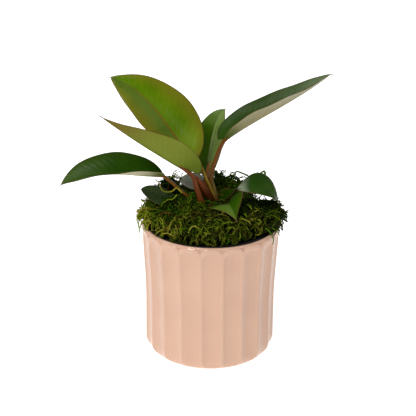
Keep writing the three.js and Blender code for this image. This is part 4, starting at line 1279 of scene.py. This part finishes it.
def floor():
    look = Look("studio_floor")
    look.set(Base_Color=look.mix(look.noise(3, 2), *FLOOR_WHITE), Roughness=0.9)
    look.set(Specular_IOR_Level=0.0, Emission_Color=(1.0, 1.0, 1.0), Emission_Strength=FLOOR_GLOW)
    signs = [(-1, -1), (1, -1), (1, 1), (-1, 1)]
    corners = [(x * FLOOR_SIZE, y * FLOOR_SIZE, FLOOR_BELOW) for x, y in signs]
    mesh = bpy.data.meshes.new("studio_floor")
    mesh.from_pydata([[c * MM for c in p] for p in corners], [], [(0, 1, 2, 3)])
    mesh.materials.append(look.material)
    plane = put_in_scene("studio_floor", mesh)


def softbox(name, place, target, size, power):
    data = bpy.data.lights.new(name, "AREA")
    data.shape = "RECTANGLE"
    data.size, data.size_y = size
    data.energy = power
    lamp = put_in_scene(name, data)
    lamp.location = place
    aim = Vector(target) - Vector(place)
    lamp.rotation_euler = aim.to_track_quat("-Z", "Y").to_euler()


def sunlight(name, direction, strength, spread_deg):
    data = bpy.data.lights.new(name, "SUN")
    data.energy = strength
    data.angle = math.radians(spread_deg)
    lamp = put_in_scene(name, data)
    lamp.rotation_euler = Vector(direction).to_track_quat("-Z", "Y").to_euler()


def studio():
    """A white studio: bright low walls, a dim ceiling, one soft key from the upper left and soft boxes."""
    world = bpy.data.worlds.new("studio")
    world.use_nodes = True
    tree = world.node_tree
    background = tree.nodes["Background"]
    background.inputs["Color"].default_value = (1.0, 1.0, 1.0, 1.0)
    direction = tree.nodes.new("ShaderNodeTexCoord").outputs["Generated"]
    parts = tree.nodes.new("ShaderNodeSeparateXYZ")
    tree.links.new(direction, parts.inputs[0])
    height = tree.nodes.new("ShaderNodeMapRange")
    height.interpolation_type = "SMOOTHSTEP"
    tree.links.new(parts.outputs["Z"], height.inputs["Value"])
    height.inputs["From Min"].default_value = 0.05
    height.inputs["From Max"].default_value = 0.45
    height.inputs["To Min"].default_value = WALL_LIGHT
    height.inputs["To Max"].default_value = CEILING_LIGHT
    tree.links.new(height.outputs["Result"], background.inputs["Strength"])
    bpy.context.scene.world = world
    bpy.context.scene.view_settings.view_transform = "Standard"
    sunlight("key", KEY_DIRECTION, KEY_STRENGTH, KEY_SPREAD_DEG)
    for name, box in SOFTBOXES.items():
        softbox(name, **box)


def camera():
    """The photo's view: from the front, a little above, with a long lens."""
    rise = math.radians(CAMERA_RISE_DEG)
    pitch = math.radians(CAMERA_PITCH_DEG)
    yaw = math.radians(CAMERA_YAW_DEG)
    roll = math.radians(CAMERA_ROLL_DEG)
    back, above = CAMERA_DISTANCE * math.cos(rise), CAMERA_DISTANCE * math.sin(rise)
    place = Vector((0, -back, CAMERA_AIM_HEIGHT + above))
    ahead = Vector((math.sin(yaw) * math.cos(pitch), math.cos(yaw) * math.cos(pitch), -math.sin(pitch)))
    right = Vector((math.cos(yaw), -math.sin(yaw), 0))
    up = right.cross(ahead)
    turned_right = math.cos(roll) * right + math.sin(roll) * up
    turned_up = -math.sin(roll) * right + math.cos(roll) * up
    data = bpy.data.cameras.new("photo_camera")
    data.sensor_width = SENSOR_WIDTH
    data.lens = LENS
    data.clip_start = 0.05
    data.clip_end = 60
    eye = put_in_scene("photo_camera", data)
    axes = Matrix((turned_right, turned_up, -ahead)).transposed().to_4x4()
    eye.matrix_world = Matrix.Translation(place * MM) @ axes
    bpy.context.scene.camera = eye


# Putting it together


camera()
studio()
floor()

glazed_pot(glaze())
for node, material in (("grower_pot", black_plastic()), ("potting_mix", peat())):
    nodes[node].data.materials.clear()
    nodes[node].data.materials.append(material)

TOP_LOOKS = {key: leaf_face("leaf_" + key, **look) for key, look in LEAF_FACES.items()}
UNDER_LOOKS = {key: leaf_underside("under_" + key, **look) for key, look in LEAF_UNDERSIDES.items()}
margin = leaf_margin()
SKINS = {key: stalk_skin("stalk_" + key, **look) for key, look in STALKS.items()}
for key, leaf in LEAVES.items():
    under = UNDER_LOOKS.get(leaf["look"], UNDER_LOOKS["pale"])
    materials = [TOP_LOOKS[leaf["look"]], under, margin]
    slot = "young_blade" if leaf["look"] in ("lime", "olive") else "mature_blade"
    mesh = SMALL_BLADE if leaf["wave"] < 0.3 else LARGE_BLADE
    blade_piece(f"leaf_{key}", f"blade_{key}", leaf, materials, slot, **mesh)
    stalk_piece(f"stalk_{key}", f"petiole_{key}", leaf, SKINS[leaf["skin"]])
SHEATH_LOOKS = {key: paper_sheath("sheath_" + key, *tones) for key, tones in SHEATH_TONES.items()}
for key, sheath in SHEATHS.items():
    materials = [SHEATH_LOOKS[sheath["look"]]] * 3
    blade_piece(f"sheath_wrap_{key}", f"sheath_{key}", sheath, materials, "sheath_skin", **SHEATH_BLADE)
crown_piece(SKINS["red"])

moss_material = moss_look("moss")
moss_core(moss_material)
generator = np.random.default_rng(MOSS_SEED)
for name, sector, count, habit in MOSS_PARTS:
    moss_strands(name, generator, moss_material, sector, count, HABITS[habit])
laid_strands(moss_material)
